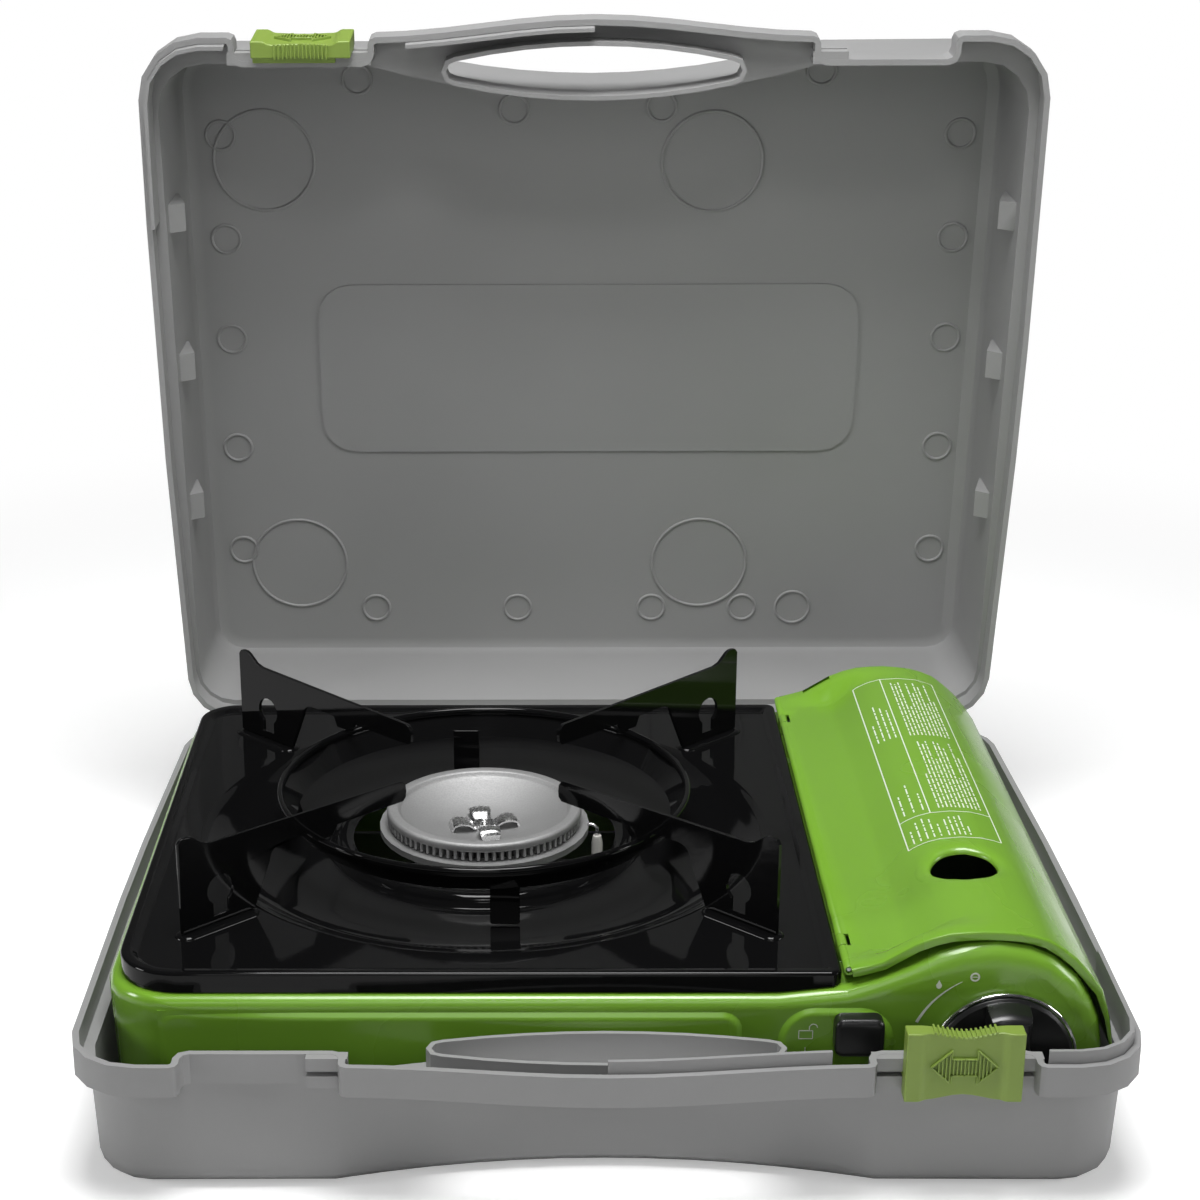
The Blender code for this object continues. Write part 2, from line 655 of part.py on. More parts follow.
# ====================================================================== carrying case
def hand_hollow(x):
    """How far the front wall bows in behind the handle at this x."""
    return HAND_HOLLOW * max(0.0, 1.0 - (x / HAND_HOLLOW_HALF) ** 2)


def handle_bulge(x):
    """How far the handle strip swings out at this x."""
    return HANDLE_BULGE * (1.0 + math.cos(math.pi * min(abs(x) / SEAT_INNER, 1.0))) / 2


def front_stations():
    """Along the front, left to right: (x of the rim, y of the rim, x of the wall below it)."""
    seat_y = SHELL_FRONT - SEAT_PROUD
    r = BAND_CORNER
    turn_in = arc((SEAT_OUTER + r, CASE_FRONT + r), r, 270, 180, 2)
    turn_flat = arc((SEAT_OUTER - r, seat_y - r), r, 0, 90, 2)
    outer_jog = turn_in + turn_flat
    inner_jog = [
        (SEAT_INNER + r, seat_y),
        (SEAT_INNER + 0.3 * r, seat_y - 0.3 * r),
        (SEAT_INNER, seat_y - r),
        (SEAT_INNER, CASE_FRONT + r),
        (SEAT_INNER - 0.3 * r, CASE_FRONT + 0.3 * r),
        (SEAT_INNER - r, CASE_FRONT),
    ]
    jogs = outer_jog + inner_jog
    spacing = 0.0009
    right = [
        (x, y, (SEAT_OUTER if i < 6 else SEAT_INNER) - spacing * (i % 6 - 2.5))
        for i, (x, y) in enumerate(jogs)
    ]
    handle = [SEAT_INNER * step / 6 for step in range(-5, 6)]
    middle = [(x, CASE_FRONT - handle_bulge(x), x) for x in handle]
    left = [(-x, y, -low_x) for x, y, low_x in right]
    return left + middle + right[::-1]


def case_outline(rim, inset=0.0):
    """The plan of the rim band, or of the wall below it, seen from above and anticlockwise."""
    if rim:
        half, taper, bow = CASE_HALF_WIDTH - CASE_BOW, CASE_TAPER, CASE_BOW
        front, back, shrink = CASE_FRONT, CASE_BACK, 0.0
    else:
        half, taper, bow = SHELL_HALF_WIDTH, SHELL_TAPER, 0.0
        front, back, shrink = SHELL_FRONT, SHELL_BACK, 0.003
    near, far = CASE_FRONT_RADIUS - shrink, CASE_BACK_RADIUS - shrink
    side = [front + near + (back - far - front - near) * i / 5 for i in range(1, 5)]
    ring = arc((near - half, front + near), near, 180, 270, CORNER_STEPS)
    ring += arc((half - near, front + near), near, 270, 360, CORNER_STEPS)
    ring += [(half, y) for y in side]
    ring += arc((half - far, back - far), far, 0, 90, CORNER_STEPS)
    ring += [(0.0, back)]
    ring += arc((far - half, back - far), far, 90, 180, CORNER_STEPS)
    ring += [(-half, y) for y in reversed(side)]

    def widened(y):
        along = (y - front) / (back - front)
        return 1.0 + (bow * (1.0 - (2 * along - 1) ** 2) - taper * along) / half

    ring = [(x * widened(y), y) for x, y in ring]
    middle = [
        (rim_x, rim_y) if rim else (low_x, front + hand_hollow(low_x))
        for rim_x, rim_y, low_x in front_stations()
    ]
    front_corner = CORNER_STEPS + 1
    points = ring[:front_corner] + middle + ring[front_corner:]
    return offset_line(points, inset) if inset else points


def tray_shell(name, depth, parent=None, matrix=None):
    """One half of the case as a tray of this depth, its rim at CASE_HEIGHT."""
    rim = CASE_HEIGHT
    bottom = rim - depth
    ledge = rim - BAND_HEIGHT
    rings = []
    for turn in (90, 60, 30, 0):
        inset = SHELL_DRAFT + BOTTOM_FILLET * (1 - math.cos(math.radians(turn)))
        height = bottom + BOTTOM_FILLET * (1 - math.sin(math.radians(turn)))
        rings.append(at_height(case_outline(False, inset), height))
    rings.append(at_height(case_outline(False), ledge))
    rings.append(at_height(case_outline(True), ledge))
    rings.append(at_height(case_outline(True), rim))
    rings.append(at_height(case_outline(True, BAND_WALL), rim))
    rings.append(at_height(case_outline(True, BAND_WALL), ledge + CASE_WALL))
    rings.append(at_height(case_outline(False, CASE_WALL), ledge + CASE_WALL))
    inner_fillet = BOTTOM_FILLET - CASE_WALL
    for turn in (0, 45, 90):
        inset = CASE_WALL + SHELL_DRAFT + inner_fillet * (1 - math.cos(math.radians(turn)))
        height = bottom + CASE_WALL + inner_fillet * (1 - math.sin(math.radians(turn)))
        rings.append(at_height(case_outline(False, inset), height))
    return loft(name, rings, "case_plastic", parent, matrix)


def hand_hole_outline(grow=0.0):
    """The lens-shaped hand hole behind the handle."""
    end_y = (HAND_HOLE_FRONT + HAND_HOLE_REAR) / 2
    half_end = (HAND_HOLE_REAR - HAND_HOLE_FRONT) / 2 - HAND_HOLE_SAG
    reach = HAND_HOLE_HALF - half_end
    xs = [reach * step / 4 for step in range(-4, 5)]
    sag = [HAND_HOLE_SAG * (x / reach) ** 2 for x in xs]
    front = [(x, HAND_HOLE_FRONT + drop) for x, drop in zip(xs, sag)]
    rear = [(x, HAND_HOLE_REAR - drop) for x, drop in zip(xs, sag)]
    right = arc((reach, end_y), half_end, -90, 90, 4)[1:-1]
    left = arc((-reach, end_y), half_end, 90, 270, 4)[1:-1]
    outline = front + right + rear[::-1] + left
    return offset_line(outline, -grow) if grow else outline


def tongue(name, first, last, parent=None, matrix=None):
    """The lip that stands above the rim and enters the other half, between two outline points."""
    rim = CASE_HEIGHT
    inner = BAND_WALL + GAP + TONGUE_THICKNESS
    low = rim - BAND_HEIGHT + CASE_WALL / 2
    section = [
        (TONGUE_ROOT, low),
        (inner, low),
        (inner, rim + TONGUE_HEIGHT),
        (BAND_WALL + GAP, rim + TONGUE_HEIGHT),
        (BAND_WALL + GAP, rim - GAP),
        (TONGUE_ROOT, rim - GAP),
    ]
    lines = [case_outline(True, inset) for inset, _ in section]
    rings = [
        [(*line[i], z) for line, (_, z) in zip(lines, section)]
        for i in range(first, last + 1)
    ]
    return loft(name, rings, None, parent, matrix)


def rail(name, low_x, high_x, parent=None, matrix=None):
    """A block on a latch seat with an undercut groove for the latch's hook."""
    rim = CASE_HEIGHT
    mouth_low, mouth_high = rim - GROOVE_LOW, rim - GROOVE_HIGH
    lip = CATCH_FRONT + GROOVE_LIP
    deep = CATCH_FRONT + GROOVE_DEPTH
    section = [
        (CATCH_FRONT, rim - CATCH_HEIGHT),
        (SHELL_FRONT + CASE_WALL / 2, rim - CATCH_HEIGHT),
        (SHELL_FRONT + CASE_WALL / 2, rim - SEAM_STEP),
        (CATCH_FRONT, rim - SEAM_STEP),
        (CATCH_FRONT, mouth_high),
        (lip, mouth_high),
        (lip, rim - GROOVE_TOP),
        (deep, rim - GROOVE_TOP),
        (deep, mouth_low),
        (CATCH_FRONT, mouth_low),
    ]
    rings = [[(x, y, z) for y, z in section] for x in (low_x, high_x)]
    return loft(name, rings, None, parent, matrix)


def hinge_lug(name, low_x, high_x, parent=None, matrix=None):
    """A lug round the hinge pin, with a web down to the band."""
    radius = HINGE_RADIUS
    inside = CASE_BACK - BAND_WALL / 2
    outline = [(inside, -LUG_FOOT), (HINGE_Y - LUG_BACK, -LUG_FOOT)]
    outline += [(HINGE_Y + y, z) for y, z in arc((0.0, 0.0), radius, -45, 180, 5)]
    outline.append((inside, -2 * GAP))
    rings = [[(x, y, AXIS_HEIGHT + z) for y, z in outline] for x in (low_x, high_x)]
    return loft(name, rings, None, parent, matrix)


def case_half(name, depth, lugs, parent=None, matrix=None):
    """The tray, or the lid as the same moulding turned over."""
    half = tray_shell(name, depth, parent, matrix)
    rim = CASE_HEIGHT
    ledge = rim - BAND_HEIGHT
    hole_wall = upright(
        name + "_hole_wall",
        hand_hole_outline(HAND_HOLE_WALL),
        ledge + CASE_WALL / 3,
        rim - SEAM_STEP,
        parent=parent,
        matrix=matrix,
    )
    hole = upright(
        name + "_hole",
        hand_hole_outline(),
        ledge - CASE_WALL,
        rim + CASE_WALL,
        parent=parent,
        matrix=matrix,
    )
    join(half, hole_wall)
    cut(half, hole)
    inner, outer = SEAT_INNER - BAND_CORNER, SEAT_OUTER + BAND_CORNER
    catch_end = -SEAT_INNER - GAP
    rails = (("rail", SEAT_INNER - CASE_WALL / 2, outer), ("catch", catch_end - CATCH_WIDTH, -inner))
    for label, low, high in rails:
        join(half, rail(f"{name}_{label}", low, high, parent, matrix))
    plan = case_outline(True)
    start = plan.index(min(plan, key=lambda p: abs(p[0]) + (p[1] > 0)))
    strip_end = max(i for i, p in enumerate(plan) if p[1] < CASE_FRONT and p[0] < TONGUE_END)
    corner_start = min(
        i for i, p in enumerate(plan) if p[0] > SEAT_OUTER + BAND_CORNER - GAP and p[1] < 0
    )
    corner_end = corner_start + CORNER_STEPS + 2
    for label, first, last in (("strip", start, strip_end), ("corner", corner_start, corner_end)):
        join(half, tongue(f"{name}_tongue_{label}", first, last, parent, matrix))
    for side in (-1, 1):
        for number, (low, high) in enumerate(lugs):
            ends = sorted((side * low, side * high))
            lug_name = f"{name}_lug_{number}_{'left' if side < 0 else 'right'}"
            join(half, hinge_lug(lug_name, *ends, parent, matrix))
        bore = cylinder(
            f"{name}_bore_{'left' if side < 0 else 'right'}",
            HINGE_PIN_RADIUS + GAP,
            (side * (HINGE_X - 0.03), HINGE_Y, AXIS_HEIGHT),
            (side * (HINGE_X + 0.03), HINGE_Y, AXIS_HEIGHT),
            parent=parent,
        )
        if matrix is not None:
            bore.data.transform(matrix)
        cut(half, bore)
    return half


def make_case():
    outer_lug = KNUCKLE_LENGTH / 2 + RUNNING_GAP
    lugs = [
        (HINGE_X - outer_lug - LUG_LENGTH, HINGE_X - outer_lug),
        (HINGE_X + outer_lug, HINGE_X + outer_lug + LUG_LENGTH),
    ]
    case_half("case_base", CASE_HEIGHT, lugs)
    hinge = axis_empty(
        "lid_hinge", (0.0, HINGE_Y, AXIS_HEIGHT), (-math.radians(LID_OPEN_DEG), 0.0, 0.0)
    )
    turned_over = Matrix.Translation((0.0, -HINGE_Y, 0.0)) @ Matrix.Rotation(math.pi, 4, "Y")
    turned_over = turned_over @ Matrix.Translation((0.0, 0.0, -AXIS_HEIGHT))
    knuckle = [(HINGE_X - KNUCKLE_LENGTH / 2, HINGE_X + KNUCKLE_LENGTH / 2)]
    lid = case_half("case_lid", LID_DEPTH, knuckle, hinge, turned_over)
    lid_details(lid, hinge, turned_over)
    for side, label in ((-1, "left"), (1, "right")):
        ends = [side * (HINGE_X + end * (outer_lug + LUG_LENGTH)) for end in (-1, 1)]
        cylinder(
            f"case_hinge_pin_{label}",
            HINGE_PIN_RADIUS,
            (ends[0], HINGE_Y, AXIS_HEIGHT),
            (ends[1], HINGE_Y, AXIS_HEIGHT),
            "zinc_steel",
            sides=12,
        )
    base_latch = latch("base_latch", LATCH_BASE_X, Matrix.Identity(4))
    carry("tray_latch_slide", (LATCH_BASE_X, LATCH_FRONT, AXIS_HEIGHT), base_latch)
    lid_latch = latch("lid_latch", -LATCH_LID_X, turned_over)
    carry("lid_latch_slide", (LATCH_LID_X, 0.0, 0.0), lid_latch, parent=hinge)


def lid_details(lid, parent, matrix):
    """The raised panel in the middle of the lid's floor and the ramps on its side walls."""
    floor = CASE_HEIGHT - LID_DEPTH + CASE_WALL
    half_x, low_y, high_y = LID_PANEL
    outline = rounded_rectangle(-half_x, half_x, low_y, high_y, (LID_PANEL_RADIUS,) * 4)
    join(lid, upright("lid_panel", outline, floor - CASE_WALL / 2, floor + LID_PANEL_RISE,
                      parent=parent, matrix=matrix))
    reach = SHELL_HALF_WIDTH - SHELL_TAPER - CASE_WALL / 2
    for number, y in enumerate(RAMP_PLACES):
        for side in (-1, 1):
            ramp = [(side * (reach - inwards), CASE_HEIGHT - down) for inwards, down in RAMP_SECTION]
            label = f"lid_ramp_{number}_{'left' if side < 0 else 'right'}"
            join(lid, along_y(label, ramp, y - RAMP_HALF, y + RAMP_HALF, parent=parent, matrix=matrix))


def latch(name, middle_x, matrix):
    """A sliding clip: a waisted plate with one hook for its own half and one for the other."""
    half_width, half_height = LATCH_WIDTH / 2, LATCH_HEIGHT / 2
    flat = 0.3 * half_width
    waist = [
        (x, LATCH_WAIST * (0.5 + 0.5 * math.cos(math.pi * x / (half_width - flat))))
        for x in [(half_width - flat) * step / 4 for step in range(-4, 5)]
    ]
    low = [(x, dip - half_height) for x, dip in waist]
    outline = [(-half_width, -half_height)] + low + [(half_width, -half_height)]
    outline += [(-x, -z) for x, z in outline]
    centre_z = AXIS_HEIGHT
    place = Matrix.Translation((middle_x, 0.0, centre_z))
    back = CATCH_FRONT - RUNNING_GAP
    plate = along_y(name, outline, LATCH_FRONT, back, "latch_plastic", matrix=matrix @ place)
    rim = CASE_HEIGHT - centre_z
    neck_low, neck_high = rim - GROOVE_LOW + GAP, rim - GROOVE_HIGH - GAP
    lip = CATCH_FRONT + GROOVE_LIP + GAP
    tip = CATCH_FRONT + GROOVE_DEPTH - GAP
    hook = [
        (back - CASE_WALL, neck_low),
        (tip, neck_low),
        (tip, rim - GROOVE_TOP - GAP),
        (lip, rim - GROOVE_TOP - GAP),
        (lip, neck_high),
        (back - CASE_WALL, neck_high),
    ]
    own = [[(x, y, z) for y, z in hook] for x in (-half_width, half_width)]
    other = [[(x, y, -z) for y, z in hook] for x in (HOOK_SETBACK - half_width, half_width)]
    for label, rings in (("own_hook", own), ("catching_hook", other)):
        join(plate, loft(f"{name}_{label}", rings, matrix=matrix @ place))
    return plate


# ====================================================================== stove: body and bay
def rounded_end(radius, distance):
    """How far a corner of this radius has turned in, this far from the end face."""
    if distance >= radius:
        return 0.0
    return radius - math.sqrt(radius**2 - (radius - distance) ** 2)


def interpolate(table, value):
    """Straight-line reading of a table of (value, result) pairs."""
    if value <= table[0][0]:
        return table[0][1]
    for (a, low), (b, high) in zip(table, table[1:]):
        if value <= b:
            return low + (high - low) * (value - a) / (b - a)
    return table[-1][1]


def body_section(distance, at_front, inset):
    """The XZ outline of the body this far in from its front or back face, anticlockwise."""
    corner = BODY_FRONT_RADIUS if at_front else BODY_BACK_RADIUS
    left_in = rounded_end(corner - inset, distance) + inset
    right_in = rounded_end(BODY_RIGHT_RADIUS - inset, distance) + inset
    drop = rounded_end(BODY_EDGE - inset, distance)
    left = BODY_LEFT + left_in
    floor = BODY_BOTTOM - (SKIRT_CLEAR if inset else 0.0)
    hump = offset_line(BODY_HUMP, -inset, closed=False)
    hump_start = hump[0][0]
    blend_from = BODY_RIGHT - BLEND_WIDTH
    top = []
    for x, z in hump:
        pull = min(max((x - blend_from) / BLEND_WIDTH, 0.0), 1.0)
        top.append((x - (right_in - inset) * pull, z - drop * (z - BAY_SILL) / (BODY_TOP - BAY_SILL)))
    right = BODY_RIGHT - right_in
    ring = [(left + BODY_DRAFT, floor), (right - BODY_DRAFT / 2, floor)]
    ring += top[::-1]
    crest = BODY_TOP - inset - drop
    ring += [(left + (hump_start - left) * t, crest) for t in (0.66, 0.33)]
    fillet = BODY_EDGE - inset
    ring += [
        (left + fillet + x, crest - fillet + z)
        for x, z in arc((0.0, 0.0), fillet, 90, 180, 4)
    ]
    return ring


def body_solid(name, inset, finish=None, parent=None):
    """The outer or inner shape of the sheet body as one solid, lofted from front to back."""
    rings = []
    length = BODY_BACK - BODY_FRONT - 2 * inset
    stations = [(d, True) for d in BODY_STATIONS] + [(d, False) for d in reversed(BODY_STATIONS)]
    for distance, at_front in stations:
        section = body_section(distance, at_front, inset)
        start = BODY_FRONT + inset + distance if at_front else BODY_FRONT + inset + length - distance
        lean = FRONT_LEAN * max(0.0, 1.0 - distance / BODY_STATIONS[-1]) if at_front else 0.0
        ring = []
        for x, z in section:
            low = (BODY_TOP - z) / (BODY_TOP - BODY_BOTTOM)
            ring.append((x, start + lean * min(max(low, 0.0), 1.0), z))
        rings.append(ring)
    return loft(name, rings, finish, parent)


def body_top_at(x):
    return interpolate(BODY_HUMP, x)


def rounded_rectangle(left, right, front, back, radii, steps=4):
    """Anticlockwise outline; radii are front left, front right, back right, back left."""
    outline = arc((left + radii[0], front + radii[0]), radii[0], 180, 270, steps)
    outline += arc((right - radii[1], front + radii[1]), radii[1], 270, 360, steps)
    outline += arc((right - radii[2], back - radii[2]), radii[2], 0, 90, steps)
    outline += arc((left + radii[3], back - radii[3]), radii[3], 90, 180, steps)
    return outline


def make_body():
    body = body_solid("stove_body", 0.0, "green_enamel")
    inner = body_solid("body_inside", BODY_SHEET)
    pan_opening = upright(
        "body_pan_opening",
        rounded_rectangle(
            BODY_LEFT + SHELF_FRONT,
            PAN_OPENING_RIGHT,
            BODY_FRONT + SHELF_FRONT,
            BODY_BACK - 1.3 * SHELF_FRONT,
            (0.016, 0.004, 0.004, 0.012),
        ),
        BAY_SILL,
        BODY_TOP + SHELF_FRONT,
    )
    bay = box(
        "body_bay_opening",
        (BAY_LEFT, BODY_FRONT + BAY_FLANGE + GAP, BAY_SILL_TOP),
        (BODY_RIGHT + SHELF_FRONT, BODY_BACK - BAY_FLANGE, HUMP_CLEAR),
    )
    shaft_hole = cylinder(
        "body_shaft_hole",
        SHAFT_HOLE_RADIUS,
        (KNOB_X, BODY_FRONT - BODY_EDGE, KNOB_Z),
        (KNOB_X, BODY_FRONT + 2 * BODY_EDGE, KNOB_Z),
    )
    slot = box(
        "body_lever_slot",
        (LEVER_STEM[0] - SLOT_CLEAR, BODY_FRONT - BODY_EDGE, LEVER_STEM[2] - LEVER_TRAVEL - SLOT_CLEAR),
        (LEVER_STEM[1] + SLOT_CLEAR, BODY_FRONT + 2 * BODY_EDGE, LEVER_STEM[3] + SLOT_CLEAR),
    )
    cut(body, inner, pan_opening, bay, shaft_hole, slot)
    foot = COVER_PIN_X + LUG_RADIUS
    for number, y in enumerate(COVER_LUGS):
        outline = [(COVER_PIN_X - LUG_RADIUS, body_top_at(COVER_PIN_X - LUG_RADIUS) - BODY_SHEET / 2)]
        outline += [(foot, body_top_at(foot) - BODY_SHEET / 2)]
        outline += arc((COVER_PIN_X, COVER_PIN_Z), LUG_RADIUS, 0, 180, 6)
        lug = along_y(
            f"body_cover_lug_{number}", outline, y - COVER_LUG_LENGTH / 2, y + COVER_LUG_LENGTH / 2
        )
        join(body, lug)
    cut(
        body,
        cylinder(
            "body_pin_bore",
            COVER_PIN_RADIUS + GAP,
            (COVER_PIN_X, COVER_FRONT, COVER_PIN_Z),
            (COVER_PIN_X, COVER_BACK, COVER_PIN_Z),
            sides=12,
        ),
    )
    return body


def make_bottom():
    """The plate that closes the body from below, its rubber feet and the sheets that stand on it."""
    top = BODY_BOTTOM - GAP
    plate = upright(
        "bottom_plate",
        rounded_rectangle(
            BODY_LEFT + PLATE_INSET,
            BODY_RIGHT - PLATE_INSET,
            BODY_FRONT + FRONT_LEAN + GAP,
            BODY_BACK - PLATE_INSET,
            (0.023, 0.005, 0.005, 0.016),
        ),
        top - BODY_SHEET,
        top,
        "zinc_steel",
    )
    for row, y in enumerate(VENT_ROWS):
        for column in range(VENTS_PER_ROW):
            x = VENT_FIRST_X + column * VENT_PITCH
            vent = rounded_rectangle(
                x - VENT_WIDTH / 2, x + VENT_WIDTH / 2, y - VENT_LENGTH / 2, y + VENT_LENGTH / 2,
                (VENT_WIDTH / 2.2,) * 4, 2,
            )
            cut(plate, upright(f"plate_vent_{row}_{column}", vent, 0.0, BODY_BOTTOM))
    names = ("front_left", "front_right", "back_left", "back_right")
    for label, (x, y) in zip(names, FEET):
        low, high = CASE_WALL + GAP, top - BODY_SHEET - GAP
        profile = [
            (0.0, high), (FOOT_RADIUS, high), (FOOT_RADIUS, low + 0.001),
            (FOOT_RADIUS - 0.001, low), (0.0, low),
        ]
        turned(f"foot_{label}", profile, 20, "rubber", matrix=Matrix.Translation((x, y, 0.0)))
    shield = box(
        "heat_shield",
        (PARTITION_X, BODY_FRONT + SHELF_FRONT, BODY_BOTTOM),
        (PARTITION_X + PARTITION_SHEET, BODY_BACK - SHELF_FRONT,
         body_top_at(PARTITION_X) - BODY_SHEET - GAP),
        "zinc_steel",
    )
    for label, radius, (y, z) in (("pipe", PIPE_HOLE, PIPE_CROSSING), ("lead", LEAD_HOLE, LEAD_CROSSING)):
        ends = [(x, y, z) for x in (PARTITION_X - BODY_EDGE, PARTITION_X + BODY_EDGE)]
        cut(shield, cylinder(f"shield_{label}_hole", radius, *ends))


def bent_sheet(name, line, thickness, start, end, finish, parent=None):
    """A sheet bent along an XZ line and drawn along Y."""
    left = offset_line(line, thickness / 2, closed=False)
    right = offset_line(line, -thickness / 2, closed=False)
    return along_y(name, left + right[::-1], start, end, finish, parent)


def make_bay():
    """The plate that the gas canister docks against and the cradle that carries it."""
    outline = [(x, z) for x, z in BULKHEAD]
    bulkhead = along_y("cartridge_bulkhead", outline, BULKHEAD_Y, BULKHEAD_Y + BODY_SHEET, "zinc_steel")
    cut(
        bulkhead,
        cylinder(
            "bulkhead_hole",
            BULKHEAD_HOLE,
            (CARTRIDGE_X, BULKHEAD_Y - BODY_EDGE, CARTRIDGE_Z),
            (CARTRIDGE_X, BULKHEAD_Y + BODY_EDGE, CARTRIDGE_Z),
            sides=32,
        ),
    )
    radius = CARTRIDGE_RADIUS + BODY_SHEET
    leg = CRADLE_LEG
    floor = BODY_BOTTOM + BODY_SHEET / 2
    bed = arc((CARTRIDGE_X, CARTRIDGE_Z), radius, 198, 342, 12)
    line = [(CARTRIDGE_X - leg - CRADLE_FOOT, floor), (CARTRIDGE_X - leg, floor)]
    line += [(CARTRIDGE_X - leg, bed[0][1])] + bed + [(CARTRIDGE_X + leg, bed[-1][1])]
    line += [(CARTRIDGE_X + leg, floor), (CARTRIDGE_X + leg + CRADLE_FOOT, floor)]
    bent_sheet("cartridge_cradle", line, BODY_SHEET, *CRADLE_Y, "zinc_steel")


# ====================================================================== stove: pan and supports
def sheet_from_rows(name, rows, thickness, closed, finish):
    """Skin rows of points and thicken the sheet away from its outer face."""
    bm = bmesh.new()
    grid = [[bm.verts.new(point) for point in row] for row in rows]
    for low, high in zip(grid, grid[1:]):
        for i in range(len(low) - (not closed)):
            j = (i + 1) % len(low)
            bm.faces.new((low[i], low[j], high[j], high[i]))
    mesh = bpy.data.meshes.new(name)
    bm.to_mesh(mesh)
    bm.free()
    obj = add_object(name, mesh, finish)
    solidify = obj.modifiers.new("sheet", "SOLIDIFY")
    solidify.thickness = thickness
    solidify.offset = -1.0
    solidify.use_even_offset = True
    return obj


def pan_outline(inset):
    """Rounded rectangle of the pan, with side points that line up with the burner's centre."""
    left, right = PAN_LEFT + inset, PAN_RIGHT - inset
    front, back = PAN_FRONT + inset, PAN_BACK - inset
    radii = [max(r - inset, 0.001) for r in
             (PAN_FRONT_RADIUS, PAN_RIGHT_RADIUS + PAN_EDGE, PAN_RIGHT_RADIUS + PAN_EDGE, PAN_BACK_RADIUS)]
    corners = rounded_rectangle(left, right, front, back, radii, 4)
    points = []
    for corner in range(4):
        run = corners[corner * 5:corner * 5 + 5]
        following = corners[(corner * 5 + 5) % 20]
        points += run
        start = math.atan2(run[-1][1] - BURNER_Y, run[-1][0] - BURNER_X)
        end = math.atan2(following[1] - BURNER_Y, following[0] - BURNER_X)
        sweep = (end - start) % (2 * math.pi)
        for step in range(1, PAN_SIDE_STEPS):
            turn = start + sweep * step / PAN_SIDE_STEPS
            if corner % 2:
                x = run[-1][0]
                y = BURNER_Y + (x - BURNER_X) * math.tan(turn)
            else:
                y = run[-1][1]
                x = BURNER_X + (y - BURNER_Y) / math.tan(turn)
            points.append((x, y))
    return points


def make_pan():
    outline = pan_outline(0.0)
    rows = [[(x, y, max(PAN_TOP - PAN_SKIRT, body_top_at(x) + GAP)) for x, y in outline]]
    for inset, z in PAN_EDGE_STEPS:
        rows.append(at_height(pan_outline(inset), z))
    turns = [math.atan2(y - BURNER_Y, x - BURNER_X) for x, y in outline]
    for radius, z in PAN_DISH:
        rows.append(
            [(BURNER_X + radius * math.cos(a), BURNER_Y + radius * math.sin(a), z) for a in turns]
        )
    pan = sheet_from_rows("drip_pan", rows, PAN_SHEET, True, "black_enamel")
    for number, turn in enumerate(fin_turns()):
        half = FIN_BEAD_WIDTH / 2
        bead = rounded_rectangle(FIN_BEAD[0], FIN_BEAD[1], -half, half, (half * 0.95,) * 4, 4)
        place = Matrix.Translation((BURNER_X, BURNER_Y, 0.0)) @ Matrix.Rotation(turn, 4, "Z")
        low, high = PAN_FIELD - PAN_SHEET / 2, FIN_FOOT - GAP
        join(pan, upright(f"pan_bead_{number}", bead, low, high, matrix=place))
    return pan


def fin_turns():
    """Directions of the four pan supports, about the burner."""
    turn = math.radians(FIN_ANGLE_DEG)
    return [turn, math.pi - turn, math.pi + turn, -turn]


def make_supports():
    """The ring that stands in the dish and the four fins on it."""
    low, slope = RING_TOP - RING_HEIGHT, RING_SLOPE
    profile = [
        (RING_RADIUS - RING_SHEET, RING_TOP),
        (RING_RADIUS, RING_TOP),
        (RING_RADIUS, RING_TOP - RING_LAND),
        (RING_RADIUS - slope, low),
        (RING_RADIUS - slope - RING_SHEET, low),
        (RING_RADIUS - RING_SHEET, RING_TOP - RING_LAND),
    ]
    place = Matrix.Translation((BURNER_X, BURNER_Y, 0.0))
    ring = turned("support_ring", profile, 56, "black_enamel", matrix=place)
    for side, label in ((1, "front"), (-1, "back")):
        reach = math.sqrt((RING_RADIUS - slope) ** 2 - RING_TAB_X**2)
        centre_x = BURNER_X + side * RING_TAB_X
        centre_y = BURNER_Y - side * (reach - RING_SHEET / 2)
        tab = box(
            f"ring_tab_{label}",
            (centre_x - RING_TAB_HALF, centre_y - RING_SHEET / 2, RING_TAB_FOOT),
            (centre_x + RING_TAB_HALF, centre_y + RING_SHEET / 2, low + RING_TAB_LAP),
        )
        join(ring, tab)
    names = ("right_back", "left_back", "left_front", "right_front")
    fins = []
    for label, turn in zip(names, fin_turns()):
        place = Matrix.Translation((BURNER_X, BURNER_Y, 0.0)) @ Matrix.Rotation(turn, 4, "Z")
        fin = flat_plate(
            f"pan_support_{label}",
            fin_outlines(),
            FIN_SHEET,
            "black_enamel",
            matrix=place @ Matrix.Rotation(math.pi / 2, 4, "X"),
        )
        fins.append(fin)
    return [ring, *fins]


def fin_outlines():
    """Edge and keyhole of a fin, as distance from the burner's middle and height."""
    foot = (FIN_BEAD[0] + FIN_SHEET / 3, FIN_FOOT)
    edge = [foot, *FIN_HORN, *FIN_ARM, *FIN_NOTCH]
    edge += arc(FIN_ARCH, FIN_ARCH_RADIUS, 90, 4, 5)
    keyhole = arc(KEYHOLE, KEYHOLE_RADIUS, KEYHOLE_OPEN_DEG - 90, 270 - KEYHOLE_OPEN_DEG, 12)
    slot = KEYHOLE_RADIUS * math.sin(math.radians(KEYHOLE_OPEN_DEG))
    keyhole += [(KEYHOLE[0] - slot, KEYHOLE_FOOT), (KEYHOLE[0] + slot, KEYHOLE_FOOT)]
    return [edge, keyhole]


